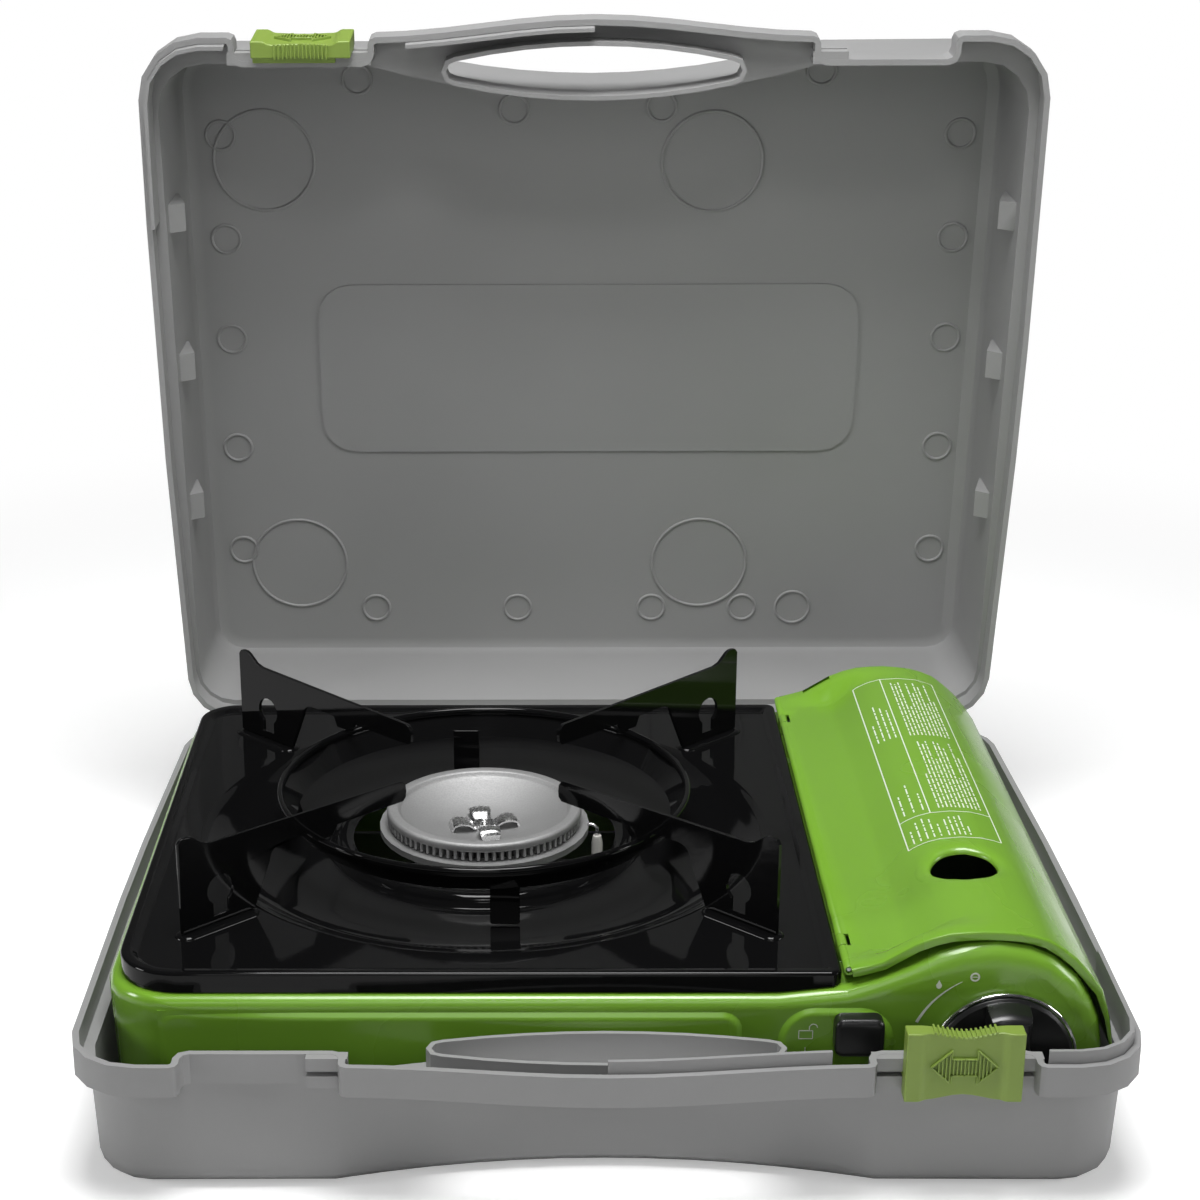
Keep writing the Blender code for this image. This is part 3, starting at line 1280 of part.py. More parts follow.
# ====================================================================== stove: burner
def along_burner(distance, height=None):
    """A point on the mixing tube's axis, this far from the burner's middle."""
    turn = math.radians(TUBE_DIRECTION_DEG)
    z = TUBE_Z if height is None else height
    return (BURNER_X + distance * math.cos(turn), BURNER_Y + distance * math.sin(turn), z)


def make_burner_base(centre):
    """The casting that takes the gas mixture, with a socket for its tube and an ear for the spark."""
    base = turned("burner_base", BURNER_BASE_PROFILE, 36, "cast_aluminium", matrix=centre)
    socket_ends = [along_burner(run) for run in SOCKET_RUN]
    socket = cylinder("burner_socket", TUBE_RADIUS + SOCKET_WALL, *socket_ends, sides=24)
    x, y = ELECTRODE
    ear_ends = [(x, y, z) for z in EAR_HEIGHTS]
    ear = cylinder("burner_ear", ELECTRODE_RADIUS + EAR_WALL, *ear_ends)
    arm_z = sum(EAR_HEIGHTS) / 2
    arm_ends = ((BURNER_X, BURNER_Y, arm_z), (x + EAR_ARM_END[0], y + EAR_ARM_END[1], arm_z))
    arm = cylinder("burner_arm", EAR_ARM_RADIUS, *arm_ends, sides=12)
    join(base, socket, ear, arm)
    bore_ends = [along_burner(run) for run in SOCKET_BORE_RUN]
    bore = cylinder("burner_bore", TUBE_RADIUS + GAP, *bore_ends, sides=24)
    seat_ends = ((x, y, EAR_HEIGHTS[0] - EAR_WALL), (x, y, EAR_HEIGHTS[1] + EAR_WALL))
    seat = cylinder("burner_ear_bore", ELECTRODE_RADIUS + GAP, *seat_ends)
    well = turned("burner_well", BURNER_WELL_PROFILE, 32, matrix=centre)
    cut(base, bore, seat, well)


def make_burner_cap(centre):
    """The cap with its ring of flame slots, and the clip that holds it."""
    teeth = []
    for tooth in range(CAP_TEETH):
        for share, radius in TOOTH_SHAPE:
            turn = 2 * math.pi * (tooth + share) / CAP_TEETH
            teeth.append((BURNER_X + radius * math.cos(turn), BURNER_Y + radius * math.sin(turn)))
    cap = turned("burner_cap", BURNER_CAP_PROFILE, 40, "cast_aluminium", matrix=centre)
    join(cap, upright("burner_teeth", teeth, BURNER_FLANGE_TOP + GAP, TEETH_TOP))
    lobes = []
    for step in range(CLIP_STEPS):
        turn = 2 * math.pi * step / CLIP_STEPS
        radius = CLIP_RADIUS * (CLIP_WAIST + (1 - CLIP_WAIST) * math.cos(2 * turn) ** 2)
        lobes.append((BURNER_X + radius * math.cos(turn), BURNER_Y + radius * math.sin(turn)))
    upright("cap_clip", lobes, CAP_DISH + GAP, CAP_DISH + GAP + CLIP_SHEET, "stainless_steel")


def make_gas_feed():
    """The mixing tube, the jet in its mouth and the pipe from the regulator."""
    tube_turn = Vector(along_burner(1.0)) - Vector(along_burner(0.0))
    place = Matrix.Translation(along_burner(0.0)) @ tube_turn.to_track_quat("Z", "Y").to_matrix().to_4x4()
    turned("mixing_tube", TUBE_PROFILE, 20, "zinc_steel", matrix=place)
    turned("jet_holder", JET_PROFILE, 6, "brass", matrix=place)
    jet_end = JET_PROFILE[0][1]
    pipe = [along_burner(jet_end + 2 * GAP), along_burner(jet_end + PIPE_STRAIGHT)]
    pipe += [(PARTITION_X, *PIPE_CROSSING), PIPE_BEND]
    pipe += [(PIPE_END_X - PIPE_STRAIGHT, PIPE_END_Y, KNOB_Z), (PIPE_END_X, PIPE_END_Y, KNOB_Z)]
    wire("gas_pipe", smooth_line(pipe, 4), PIPE_RADIUS, "brass")


def make_burner_bracket():
    """The bent strip that carries the burner on the bottom plate."""
    foot = BODY_BOTTOM + BODY_SHEET / 2
    saddle = BURNER_FLOOR - GAP - BODY_SHEET / 2
    half = [(BRACKET_LEG, saddle), (BRACKET_LEG, foot), (BRACKET_FOOT, foot)]
    line = [(BURNER_X - x, z) for x, z in reversed(half)] + [(BURNER_X + x, z) for x, z in half]
    ends = (BURNER_Y - BRACKET_HALF, BURNER_Y + BRACKET_HALF)
    bent_sheet("burner_bracket", line, BODY_SHEET, *ends, "zinc_steel")


def make_spark():
    """The electrode beside the cap, its lead and the igniter that the knob works."""
    x, y = ELECTRODE
    shoulder = ELECTRODE_TOP - 0.003
    profile = [(0.0, ELECTRODE_TOP), (0.0016, ELECTRODE_TOP), (ELECTRODE_RADIUS, shoulder)]
    profile += [(ELECTRODE_RADIUS, ELECTRODE_BOTTOM), (0.0, ELECTRODE_BOTTOM)]
    turned("electrode", profile, 16, "ceramic", matrix=Matrix.Translation((x, y, 0.0)))
    tip = [(x + dx, y + dy, z) for dx, dy, z in ELECTRODE_TIP]
    wire("electrode_tip", tip, ELECTRODE_TIP_RADIUS, "stainless_steel")
    wire("electrode_lead", smooth_line(LEAD_ROUTE, 3), LEAD_RADIUS, "lead_insulation", bevel_resolution=1)
    box("piezo_igniter", IGNITER_LOW, IGNITER_HIGH, "black_plastic")


def make_burner():
    centre = Matrix.Translation((BURNER_X, BURNER_Y, 0.0))
    make_burner_base(centre)
    make_burner_cap(centre)
    make_gas_feed()
    make_burner_bracket()
    make_spark()


# ====================================================================== stove: gas side and controls
def make_regulator():
    """The pressure regulator with its boss and flange, and the connector for the canister."""
    place = Matrix.Translation((KNOB_X, 0.0, KNOB_Z)) @ TOWARDS_FRONT
    regulator = turned("regulator_body", REGULATOR_PROFILE, 28, "cast_aluminium", matrix=place)
    back = BULKHEAD_Y - GAP
    boss = cylinder(
        "regulator_boss", REGULATOR_BOSS, (CARTRIDGE_X, REGULATOR_BACK - 0.004, CARTRIDGE_Z),
        (CARTRIDGE_X, back, CARTRIDGE_Z), sides=24,
    )
    flange = cylinder(
        "regulator_flange", BULKHEAD_HOLE + 0.004, (CARTRIDGE_X, back - 0.0016, CARTRIDGE_Z),
        (CARTRIDGE_X, back, CARTRIDGE_Z), sides=32,
    )
    join(regulator, boss, flange)
    connector = Matrix.Translation((CARTRIDGE_X, 0.0, CARTRIDGE_Z)) @ TOWARDS_FRONT
    turned("cartridge_connector", CONNECTOR_PROFILE, 24, "brass", matrix=connector)
    bezel = [
        (BEZEL_RADIUS - 0.0011, -BEZEL_FRONT), (BEZEL_RADIUS - 0.0003, -BEZEL_FRONT),
        (BEZEL_RADIUS, -BEZEL_FRONT - 0.0003), (BEZEL_RADIUS, -BEZEL_BACK),
        (BEZEL_RADIUS - 0.0011, -BEZEL_BACK),
    ]
    turned("dial_bezel", bezel, 40, "chrome", matrix=place)


def make_knob():
    """The control knob, a disc with a bar across it, and the shaft that it is pushed on."""
    place = Matrix.Translation((KNOB_X, 0.0, KNOB_Z)) @ TOWARDS_FRONT
    shaft = turned("knob_shaft", SHAFT_PROFILE, 16, "brass", matrix=place)
    back, front = -KNOB_BACK, -KNOB_BACK + KNOB_DISC
    profile = [
        (0.0, front), (KNOB_RADIUS - 0.0012, front), (KNOB_RADIUS, front - 0.0010),
        (KNOB_RADIUS, back), (0.0, back),
    ]
    knob = turned("control_knob", profile, 40, "black_plastic", matrix=place)
    half, reach = KNOB_GRIP_WIDTH / 2, KNOB_RADIUS - 0.0008
    rings = []
    for depth, narrow, shorten in GRIP_STEPS:
        width, long = half - narrow, reach - shorten
        side = arc((0.0, 0.0), long, -math.degrees(math.asin(width / long)),
                   math.degrees(math.asin(width / long)), 4)
        outline = [(KNOB_X - y, KNOB_Z + x) for x, y in side]
        outline += [(KNOB_X + y, KNOB_Z - x) for x, y in side]
        rings.append([(x, -front - depth, z) for x, z in outline])
    join(knob, loft("knob_grip", rings))
    bore = cylinder(
        "knob_bore", SHAFT_RADIUS + GAP, (KNOB_X, KNOB_BACK + BODY_EDGE, KNOB_Z),
        (KNOB_X, -SHAFT_PROFILE[0][1] - RUNNING_GAP, KNOB_Z),
    )
    cut(knob, bore)
    return [knob, shaft]


def make_lever():
    left, right, low, high = LEVER_LEFT, LEVER_RIGHT, LEVER_BOTTOM, LEVER_TOP
    rings = []
    for inset, y in LEVER_STEPS:
        rings.append(
            [(x, y, z) for x, z in rounded_rectangle(
                left + inset, right - inset, low + inset, high - inset, (0.0030 - inset,) * 4, 3)]
        )
    lever = loft("lock_lever", rings, "black_plastic")
    stem = box(
        "lever_stem",
        (LEVER_STEM[0], LEVER_STEPS[-1][1] - SLOT_CLEAR, LEVER_STEM[2]),
        (LEVER_STEM[1], LEVER_STEM_BACK, LEVER_STEM[3]),
    )
    join(lever, stem)
    return lever


def make_pusher():
    """The rod and plate that push the canister on to its connector."""
    rod = box("cartridge_pusher", (PUSHER_ROD[0], PUSHER_ROD_FRONT, PUSHER_ROD[2]),
              (PUSHER_ROD[1], PUSHER_Y + BODY_SHEET, PUSHER_ROD[3]), "zinc_steel")
    plate = box("pusher_plate", (PUSHER_ROD[0], PUSHER_Y, PUSHER_PLATE[1]),
                (PUSHER_PLATE[0], PUSHER_Y + PUSHER_PLATE_SHEET, PUSHER_PLATE[2]))
    join(rod, plate)
    return rod


# ====================================================================== stove: canister cover
def cover_profile(y):
    """The XZ line of the cover's outer face at this y, from its hinge to its free edge."""
    from_end = min(y - COVER_FRONT, COVER_BACK - y)
    share = min(max((from_end - 0.005) / 0.011, 0.0), 1.0)
    share = share * share * (3 - 2 * share)
    back = min(max((y - COVER_FRONT) / (COVER_BACK - COVER_FRONT), 0.0), 1.0)
    line = []
    for edge, inner, narrow in COVER_LINE:
        x = edge[0] + (inner[0] - edge[0]) * share - narrow[0] * back
        z = edge[1] + (inner[1] - edge[1]) * share - narrow[1] * back
        line.append((x, z))
    return line


def flange_line(y, depth):
    """The cover's line at this y moved inwards, less so beside the body at its free edge."""
    line = cover_profile(y)
    square = offset_line(line, -1.0, False)
    limits = [depth] * (len(line) - len(FLANGE_TAPER)) + [min(depth, t) for t in FLANGE_TAPER]
    return [
        (x + (far_x - x) * limit, z + (far_z - z) * limit)
        for (x, z), (far_x, far_z), limit in zip(line, square, limits)
    ]


def make_cover():
    rows = []
    front_steps = ((0.0, COVER_FLANGE), (0.0, 0.0012), (0.0004, 0.0004), (0.0012, 0.0))
    ys = [0.005, 0.0085, 0.0125, 0.016]
    for step, down in front_steps:
        y = COVER_FRONT + step
        rows.append([(x, y, z) for x, z in flange_line(COVER_FRONT, down)])
    for distance in ys:
        rows.append([(x, COVER_FRONT + distance, z) for x, z in cover_profile(COVER_FRONT + distance)])
    for distance in ys[::-1]:
        rows.append([(x, COVER_BACK - distance, z) for x, z in cover_profile(COVER_BACK - distance)])
    for step, down in front_steps[::-1]:
        y = COVER_BACK - step
        rows.append([(x, y, z) for x, z in flange_line(COVER_BACK, down)])
    cover = sheet_from_rows("cartridge_cover", rows, COVER_SHEET, False, "green_enamel")
    curl = cylinder(
        "cover_curl", COVER_CURL, (COVER_PIN_X, COVER_FRONT + 0.002, COVER_PIN_Z),
        (COVER_PIN_X, COVER_BACK - 0.002, COVER_PIN_Z), sides=20,
    )
    hole_x, hole_y = SIGHT_HOLE
    window = cylinder(
        "cover_window", SIGHT_LIP_RADIUS - 0.0005, (hole_x, hole_y, COVER_PIN_Z),
        (hole_x, hole_y, SIGHT_LIP_TOP + BODY_EDGE), sides=28,
    )
    lip = turned("cover_window_lip", SIGHT_LIP_PROFILE, 28,
                 matrix=Matrix.Translation((hole_x, hole_y, 0.0)))
    join(cover, curl)
    cut(cover, window)
    join(cover, lip)
    bore = cylinder(
        "cover_bore", COVER_PIN_RADIUS + GAP, (COVER_PIN_X, COVER_FRONT - BODY_EDGE, COVER_PIN_Z),
        (COVER_PIN_X, COVER_BACK + BODY_EDGE, COVER_PIN_Z), sides=12,
    )
    cut(cover, bore)
    reach = LUG_RADIUS + 0.0007
    for number, y in enumerate(COVER_LUGS):
        half = COVER_LUG_LENGTH / 2 + RUNNING_GAP
        gap = box(
            f"cover_lug_gap_{number}",
            (COVER_PIN_X - reach, y - half, COVER_PIN_Z - reach),
            (COVER_PIN_X + reach, y + half, COVER_PIN_Z + 2 * reach),
            )
        cut(cover, gap)
    cylinder(
        "cover_hinge_pin", COVER_PIN_RADIUS, (COVER_PIN_X, COVER_FRONT + 0.003, COVER_PIN_Z),
        (COVER_PIN_X, COVER_BACK - 0.003, COVER_PIN_Z), "zinc_steel", sides=12,
    )
    return cover


def make_stove():
    make_body()
    make_bottom()
    make_bay()
    make_pan()
    carry("supports_lift", (BURNER_X, BURNER_Y, RING_TOP), *make_supports())
    make_burner()
    make_regulator()
    carry("knob_turn", (KNOB_X, KNOB_BACK, KNOB_Z), *make_knob())
    carry("lever_slide", (LEVER_STEM[0], LEVER_STEM_BACK, LEVER_STEM[2]), make_lever())
    carry("pusher_slide", (PUSHER_ROD[0], PUSHER_Y, PUSHER_ROD[2]), make_pusher())
    carry("cover_hinge", (COVER_PIN_X, 0.0, COVER_PIN_Z), make_cover())


make_case()
make_stove()
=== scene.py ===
"""Looks of a cassette gas stove in its open carrying case: finishes, fine surfaces and markings.

Laid out as an add-on and run as a script. Every piece is made in metres in the frame's own axes:
+X to the right, +Y to the back, +Z up, with the origin under the middle of the case.
"""

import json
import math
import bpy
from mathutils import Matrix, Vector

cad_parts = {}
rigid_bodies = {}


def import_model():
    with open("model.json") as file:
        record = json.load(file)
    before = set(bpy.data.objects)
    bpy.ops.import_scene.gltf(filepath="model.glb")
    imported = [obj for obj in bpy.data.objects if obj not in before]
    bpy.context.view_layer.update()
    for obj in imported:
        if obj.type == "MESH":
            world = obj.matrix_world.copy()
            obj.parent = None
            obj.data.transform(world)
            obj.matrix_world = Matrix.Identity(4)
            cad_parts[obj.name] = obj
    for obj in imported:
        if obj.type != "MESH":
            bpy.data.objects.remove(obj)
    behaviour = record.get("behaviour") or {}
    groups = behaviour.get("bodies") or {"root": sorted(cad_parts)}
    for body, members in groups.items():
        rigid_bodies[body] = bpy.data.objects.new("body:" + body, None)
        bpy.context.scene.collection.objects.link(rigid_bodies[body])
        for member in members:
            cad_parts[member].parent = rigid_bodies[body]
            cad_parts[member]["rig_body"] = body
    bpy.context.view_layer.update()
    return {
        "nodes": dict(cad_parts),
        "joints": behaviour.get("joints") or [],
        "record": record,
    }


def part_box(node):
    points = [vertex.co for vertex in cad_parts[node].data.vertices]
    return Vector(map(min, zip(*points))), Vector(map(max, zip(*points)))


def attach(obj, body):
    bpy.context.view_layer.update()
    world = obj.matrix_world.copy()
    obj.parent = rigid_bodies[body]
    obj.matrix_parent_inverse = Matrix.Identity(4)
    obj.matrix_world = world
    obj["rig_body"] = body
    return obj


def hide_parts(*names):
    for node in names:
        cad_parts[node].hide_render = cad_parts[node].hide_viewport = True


bl_info = {
    "name": "Camping Stove Looks",
    "version": (1, 0, 0),
    "blender": (4, 5, 0),
    "location": "View3D > Sidebar > Stove",
    "description": "Builds the finishes and fine surfaces of a camping stove in its case",
    "category": "Object",
}

import bmesh
import bpy
from mathutils import Matrix, Vector
from mathutils.bvhtree import BVHTree

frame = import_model()
NODES = frame["nodes"]


# ====================================================================== settings
COLOUR = {"subtype": "COLOR", "min": 0.0, "max": 1.0}


class StoveColours(bpy.types.PropertyGroup):
    """Colours of the finishes."""

    case: bpy.props.FloatVectorProperty(
        name="Case plastic", description="Colour of the moulded carrying case",
        default=(0.262, 0.262, 0.262), **COLOUR,
    )
    latch: bpy.props.FloatVectorProperty(
        name="Latch plastic", description="Colour of the two sliding latches",
        default=(0.192, 0.280, 0.046), **COLOUR,
    )
    enamel: bpy.props.FloatVectorProperty(
        name="Green enamel", description="Colour of the stove body and its canister cover",
        default=(0.158, 0.335, 0.026), **COLOUR,
    )
    pan: bpy.props.FloatVectorProperty(
        name="Black enamel", description="Colour of the drip pan and the pan supports",
        default=(0.0035, 0.0035, 0.0037), **COLOUR,
    )
    marking: bpy.props.FloatVectorProperty(
        name="Markings", description="Colour of the printed lines",
        default=(0.66, 0.70, 0.60), **COLOUR,
    )


class StoveSizes(bpy.types.PropertyGroup):
    """Sizes of the fine details."""

    cap_teeth: bpy.props.IntProperty(
        name="Cap teeth", description="Ribs between the flame slots of the burner cap", default=78, min=8,
    )
    rib_count: bpy.props.IntProperty(
        name="Latch ribs", description="Grip ribs on the edge of each latch", default=14, min=2,
    )
    rib_pitch: bpy.props.FloatProperty(
        name="Rib pitch", description="Distance between the grip ribs", unit="LENGTH", default=0.00160,
    )
    edge_roll: bpy.props.FloatProperty(
        name="Sheet edge", description="Radius of the rolled edge of the drip pan", unit="LENGTH",
        default=0.0013,
    )
    hoop_wire: bpy.props.FloatProperty(
        name="Mould marks", description="Half width of the round marks in the lid", unit="LENGTH",
        default=0.00072,
    )
    label_line: bpy.props.FloatProperty(
        name="Line", description="Width of the printed lines", unit="LENGTH", default=0.00042,
    )


class StoveStage(bpy.types.PropertyGroup):
    """Camera, floor and lights."""

    camera_place: bpy.props.FloatVectorProperty(
        name="Camera place", description="Where the camera stands", subtype="TRANSLATION",
        unit="LENGTH", default=(-0.02452, -0.86156, 0.46389),
    )
    camera_pitch: bpy.props.FloatProperty(
        name="Pitch", description="How far the camera looks down", subtype="ANGLE",
        default=math.radians(20.79),
    )
    camera_yaw: bpy.props.FloatProperty(
        name="Yaw", description="How far the camera turns to the right", subtype="ANGLE",
        default=math.radians(-0.37),
    )
    camera_roll: bpy.props.FloatProperty(
        name="Roll", description="How far the camera leans", subtype="ANGLE",
        default=math.radians(0.21),
    )
    lens: bpy.props.FloatProperty(
        name="Lens", description="Focal length on a 36 mm sensor, in mm", default=71.74,
    )
    shift: bpy.props.FloatVectorProperty(
        name="Shift", description="Shift of the lens, as a share of the frame", size=2,
        default=(0.0667, 0.0667),
    )
    key_power: bpy.props.FloatProperty(
        name="Key light", description="Power of the large light over the front, in watts",
        default=23.5, min=0.0,
    )
    sky: bpy.props.FloatProperty(
        name="Sky", description="Strength of the even light from all sides", default=0.07, min=0.0,
    )


# ====================================================================== materials
def new_material(name):
    material = bpy.data.materials.new(name)
    material.use_nodes = True
    tree = material.node_tree
    return material, tree, tree.nodes["Principled BSDF"]


def add_node(tree, kind, **values):
    node = tree.nodes.new(kind)
    for key, value in values.items():
        if key in node.inputs:
            node.inputs[key].default_value = value
        else:
            setattr(node, key, value)
    return node


def fill(node, values):
    """Set a node's inputs by name."""
    for key, value in values.items():
        node.inputs[key].default_value = value


def connect(tree, *pairs):
    """Link output sockets to input sockets."""
    for source, target in pairs:
        tree.links.new(source, target)


def object_noise(tree, scale, detail):
    """Noise on Object coordinates; the returned socket runs from 0 to 1."""
    place = tree.nodes.new("ShaderNodeTexCoord")
    noise = add_node(tree, "ShaderNodeTexNoise", Scale=scale, Detail=detail)
    connect(tree, (place.outputs["Object"], noise.inputs["Vector"]))
    return noise.outputs["Fac"]


def ramp(tree, source, low, high, start=0.3, end=0.7):
    """Map a 0 to 1 value to low..high between start and end, with a soft start and end."""
    node = tree.nodes.new("ShaderNodeMapRange")
    node.interpolation_type = "SMOOTHSTEP"
    fill(node, {"From Min": start, "From Max": end, "To Min": low, "To Max": high})
    connect(tree, (source, node.inputs["Value"]))
    return node.outputs["Result"]


def bump(tree, shader, source, distance, strength):
    node = add_node(tree, "ShaderNodeBump", Strength=strength, Distance=distance)
    connect(tree, (source, node.inputs["Height"]), (node.outputs["Normal"], shader.inputs["Normal"]))


def tinted(tree, shader, colour, source, spread):
    """Vary a colour by a share of itself with a 0 to 1 value."""
    mix = tree.nodes.new("ShaderNodeMix")
    mix.data_type = "RGBA"
    for key, share in (("A", 1 - spread), ("B", 1 + spread)):
        mix.inputs[key].default_value = (*[c * share for c in colour], 1.0)
    connect(tree, (source, mix.inputs["Factor"]), (mix.outputs["Result"], shader.inputs["Base Color"]))


def moulded_plastic(name, colour, roughness, grain=0.00005, spread=0.05):
    material, tree, shader = new_material(name)
    cloud = object_noise(tree, 22.0, 4.0)
    grains = object_noise(tree, 2600.0, 2.0)
    tinted(tree, shader, colour, cloud, spread)
    connect(tree, (ramp(tree, cloud, roughness - 0.04, roughness + 0.05), shader.inputs["Roughness"]))
    bump(tree, shader, grains, grain, 0.35)
    fill(shader, {"IOR": 1.49})
    return material


def enamel(name, colour, roughness, coat, index=1.5):
    material, tree, shader = new_material(name)
    fill(shader, {"IOR": index, "Coat Weight": coat, "Coat Roughness": 0.04})
    wave = object_noise(tree, 130.0, 2.0)
    cloud = object_noise(tree, 14.0, 3.0)
    tinted(tree, shader, colour, cloud, 0.04)
    connect(tree, (ramp(tree, cloud, roughness * 0.75, roughness * 1.35), shader.inputs["Roughness"]))
    bump(tree, shader, wave, 0.00012, 0.12)
    return material


def bare_metal(name, colour, roughness, grain_scale=900.0, depth=0.00002):
    material, tree, shader = new_material(name)
    grains = object_noise(tree, grain_scale, 3.0)
    cloud = object_noise(tree, 30.0, 3.0)
    tinted(tree, shader, colour, cloud, 0.06)
    connect(tree, (ramp(tree, grains, roughness - 0.06, roughness + 0.08), shader.inputs["Roughness"]))
    bump(tree, shader, grains, depth, 0.5)
    fill(shader, {"Metallic": 1.0})
    return material


def make_materials(colours):
    return {
        "case_plastic": moulded_plastic("case_plastic_look", tuple(colours.case), 0.50),
        "latch_plastic": moulded_plastic("latch_plastic_look", tuple(colours.latch), 0.42, spread=0.03),
        "green_enamel": enamel("green_enamel_look", tuple(colours.enamel), 0.24, 0.22),
        "black_enamel": enamel("black_enamel_look", tuple(colours.pan), 0.055, 0.0, 1.28),
        "cast_aluminium": bare_metal("cast_aluminium_look", (0.39, 0.39, 0.39), 0.66, 1500.0, 0.00012),
        "zinc_steel": bare_metal("zinc_steel_look", (0.52, 0.53, 0.54), 0.34),
        "stainless_steel": bare_metal("stainless_steel_look", (0.62, 0.62, 0.62), 0.24),
        "brass": bare_metal("brass_look", (0.62, 0.43, 0.16), 0.28),
        "black_plastic": moulded_plastic("black_plastic_look", (0.007, 0.007, 0.0075), 0.30),
        "chrome": bare_metal("chrome_look", (0.78, 0.78, 0.79), 0.10, 300.0, 0.000005),
        "rubber": moulded_plastic("rubber_look", (0.018, 0.018, 0.018), 0.75),
        "ceramic": moulded_plastic("ceramic_look", (0.50, 0.49, 0.46), 0.28, 0.00002),
        "lead_insulation": moulded_plastic("lead_insulation_look", (0.45, 0.03, 0.02), 0.42),
        # near-black finish of painted shade, for the depth of the burner's flame ports
        "painted_port_shade": moulded_plastic("painted_port_shade_look", (0.010, 0.010, 0.010), 0.85),
        "marking": moulded_plastic("marking_look", tuple(colours.marking), 0.45, 0.00001),
    }


LOOKS = {}                   # finish of each slot, filled on first use
MERGE_DISTANCE = 0.000005
SEAM_DISTANCE = 1e-7         # points of a turned profile that meet on its axis are this close
FLAT_ANGLE = math.radians(0.8)


def look(slot):
    if not LOOKS:
        LOOKS.update(make_materials(bpy.context.scene.stove_colours))
    return LOOKS[slot]


# ====================================================================== mesh helpers
def finish_piece(obj, slot, body, *replaced, paint=None):
    """Give a finished mesh its material, its body and the nodes that it stands for."""
    obj.data.materials.clear()
    obj.data.materials.append(look(paint or slot))
    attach(obj, body)
    if replaced:
        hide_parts(*replaced)
    return obj


def link_mesh(name, mesh):
    obj = bpy.data.objects.new(name, mesh)
    bpy.context.scene.collection.objects.link(obj)
    return obj


def from_bmesh(name, bm, outward=True):
    if outward:
        bmesh.ops.recalc_face_normals(bm, faces=bm.faces)
    mesh = bpy.data.meshes.new(name)
    bm.to_mesh(mesh)
    bm.free()
    return link_mesh(name, mesh)


def discard(obj):
    """Remove a helper object and its mesh."""
    mesh = obj.data
    bpy.data.objects.remove(obj)
    bpy.data.meshes.remove(mesh)


def smooth(share):
    """Ease a share between 0 and 1 in and out."""
    share = min(max(share, 0.0), 1.0)
    return share * share * (3 - 2 * share)


def polar(centre, radius, turn):
    """The point at this distance and turn from a centre."""
    return (centre[0] + radius * math.cos(turn), centre[1] + radius * math.sin(turn))


def full_turn(count):
    return [2 * math.pi * i / count for i in range(count)]


def body_of(node):
    return NODES[node]["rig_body"]


def middle_of(node):
    """Middle of the box round a CAD node."""
    return tuple((low + high) / 2 for low, high in zip(*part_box(node)))


def applied(obj):
    """Replace an object's modifiers by their result."""
    graph = bpy.context.evaluated_depsgraph_get()
    graph.update()
    mesh = bpy.data.meshes.new_from_object(obj.evaluated_get(graph))
    obj.modifiers.clear()
    obj.data = mesh
    return obj


def rounded(obj, bevel, segments=2, angle=30.0, smooth_deg=40.0):
    """Round the sharp edges of a mesh and keep its flat faces flat in the shading."""
    obj.data.shade_smooth()
    obj.data.set_sharp_from_angle(angle=math.radians(smooth_deg))
    if bevel:
        edges = obj.modifiers.new("edges", "BEVEL")
        edges.width = bevel
        edges.segments = segments
        edges.limit_method = "ANGLE"
        edges.angle_limit = math.radians(angle)
    normals = obj.modifiers.new("normals", "WEIGHTED_NORMAL")
    normals.keep_sharp = True
    normals.weight = 60
    return applied(obj)


def merged_copy(node):
    """A copy of a CAD node with its loose triangles merged and its flat faces dissolved."""
    bm = bmesh.new()
    bm.from_mesh(NODES[node].data)
    bmesh.ops.remove_doubles(bm, verts=bm.verts, dist=MERGE_DISTANCE)
    bmesh.ops.dissolve_limit(
        bm, angle_limit=FLAT_ANGLE, verts=bm.verts, edges=bm.edges, use_dissolve_boundaries=False
    )
    return from_bmesh(f"{node}_fine", bm, outward=False)


def softened(node, slot, bevel, smooth_deg):
    """A merged copy of a CAD node with rounded edges stands for it."""
    obj = rounded(merged_copy(node), bevel, smooth_deg=smooth_deg)
    return finish_piece(obj, slot, body_of(node), node)


def spline(points, steps):
    """Catmull-Rom curve through points, with this many steps between each two."""
    last = len(points) - 1
    result = []
    for i in range(last):
        ends = [points[min(max(i + k, 0), last)] for k in (-1, 0, 1, 2)]
        for step in range(steps):
            t = step / steps
            weights = (
                -0.5 * t + t * t - 0.5 * t**3,
                1 - 2.5 * t * t + 1.5 * t**3,
                0.5 * t + 2 * t * t - 1.5 * t**3,
                -0.5 * t * t + 0.5 * t**3,
            )
            result.append(tuple(
                sum(w * p[axis] for w, p in zip(weights, ends)) for axis in range(len(points[0]))
            ))
    result.append(tuple(points[-1]))
    return result


def arc(centre, radius, start_deg, end_deg, steps):
    turns = [math.radians(start_deg + (end_deg - start_deg) * i / steps) for i in range(steps + 1)]
    return [polar(centre, radius, turn) for turn in turns]


def rounded_rectangle(left, right, front, back, radii, steps=6):
    """Anticlockwise outline; radii are front left, front right, back right, back left."""
    outline = arc((left + radii[0], front + radii[0]), radii[0], 180, 270, steps)
    outline += arc((right - radii[1], front + radii[1]), radii[1], 270, 360, steps)
    outline += arc((right - radii[2], back - radii[2]), radii[2], 0, 90, steps)
    outline += arc((left + radii[3], back - radii[3]), radii[3], 90, 180, steps)
    return outline


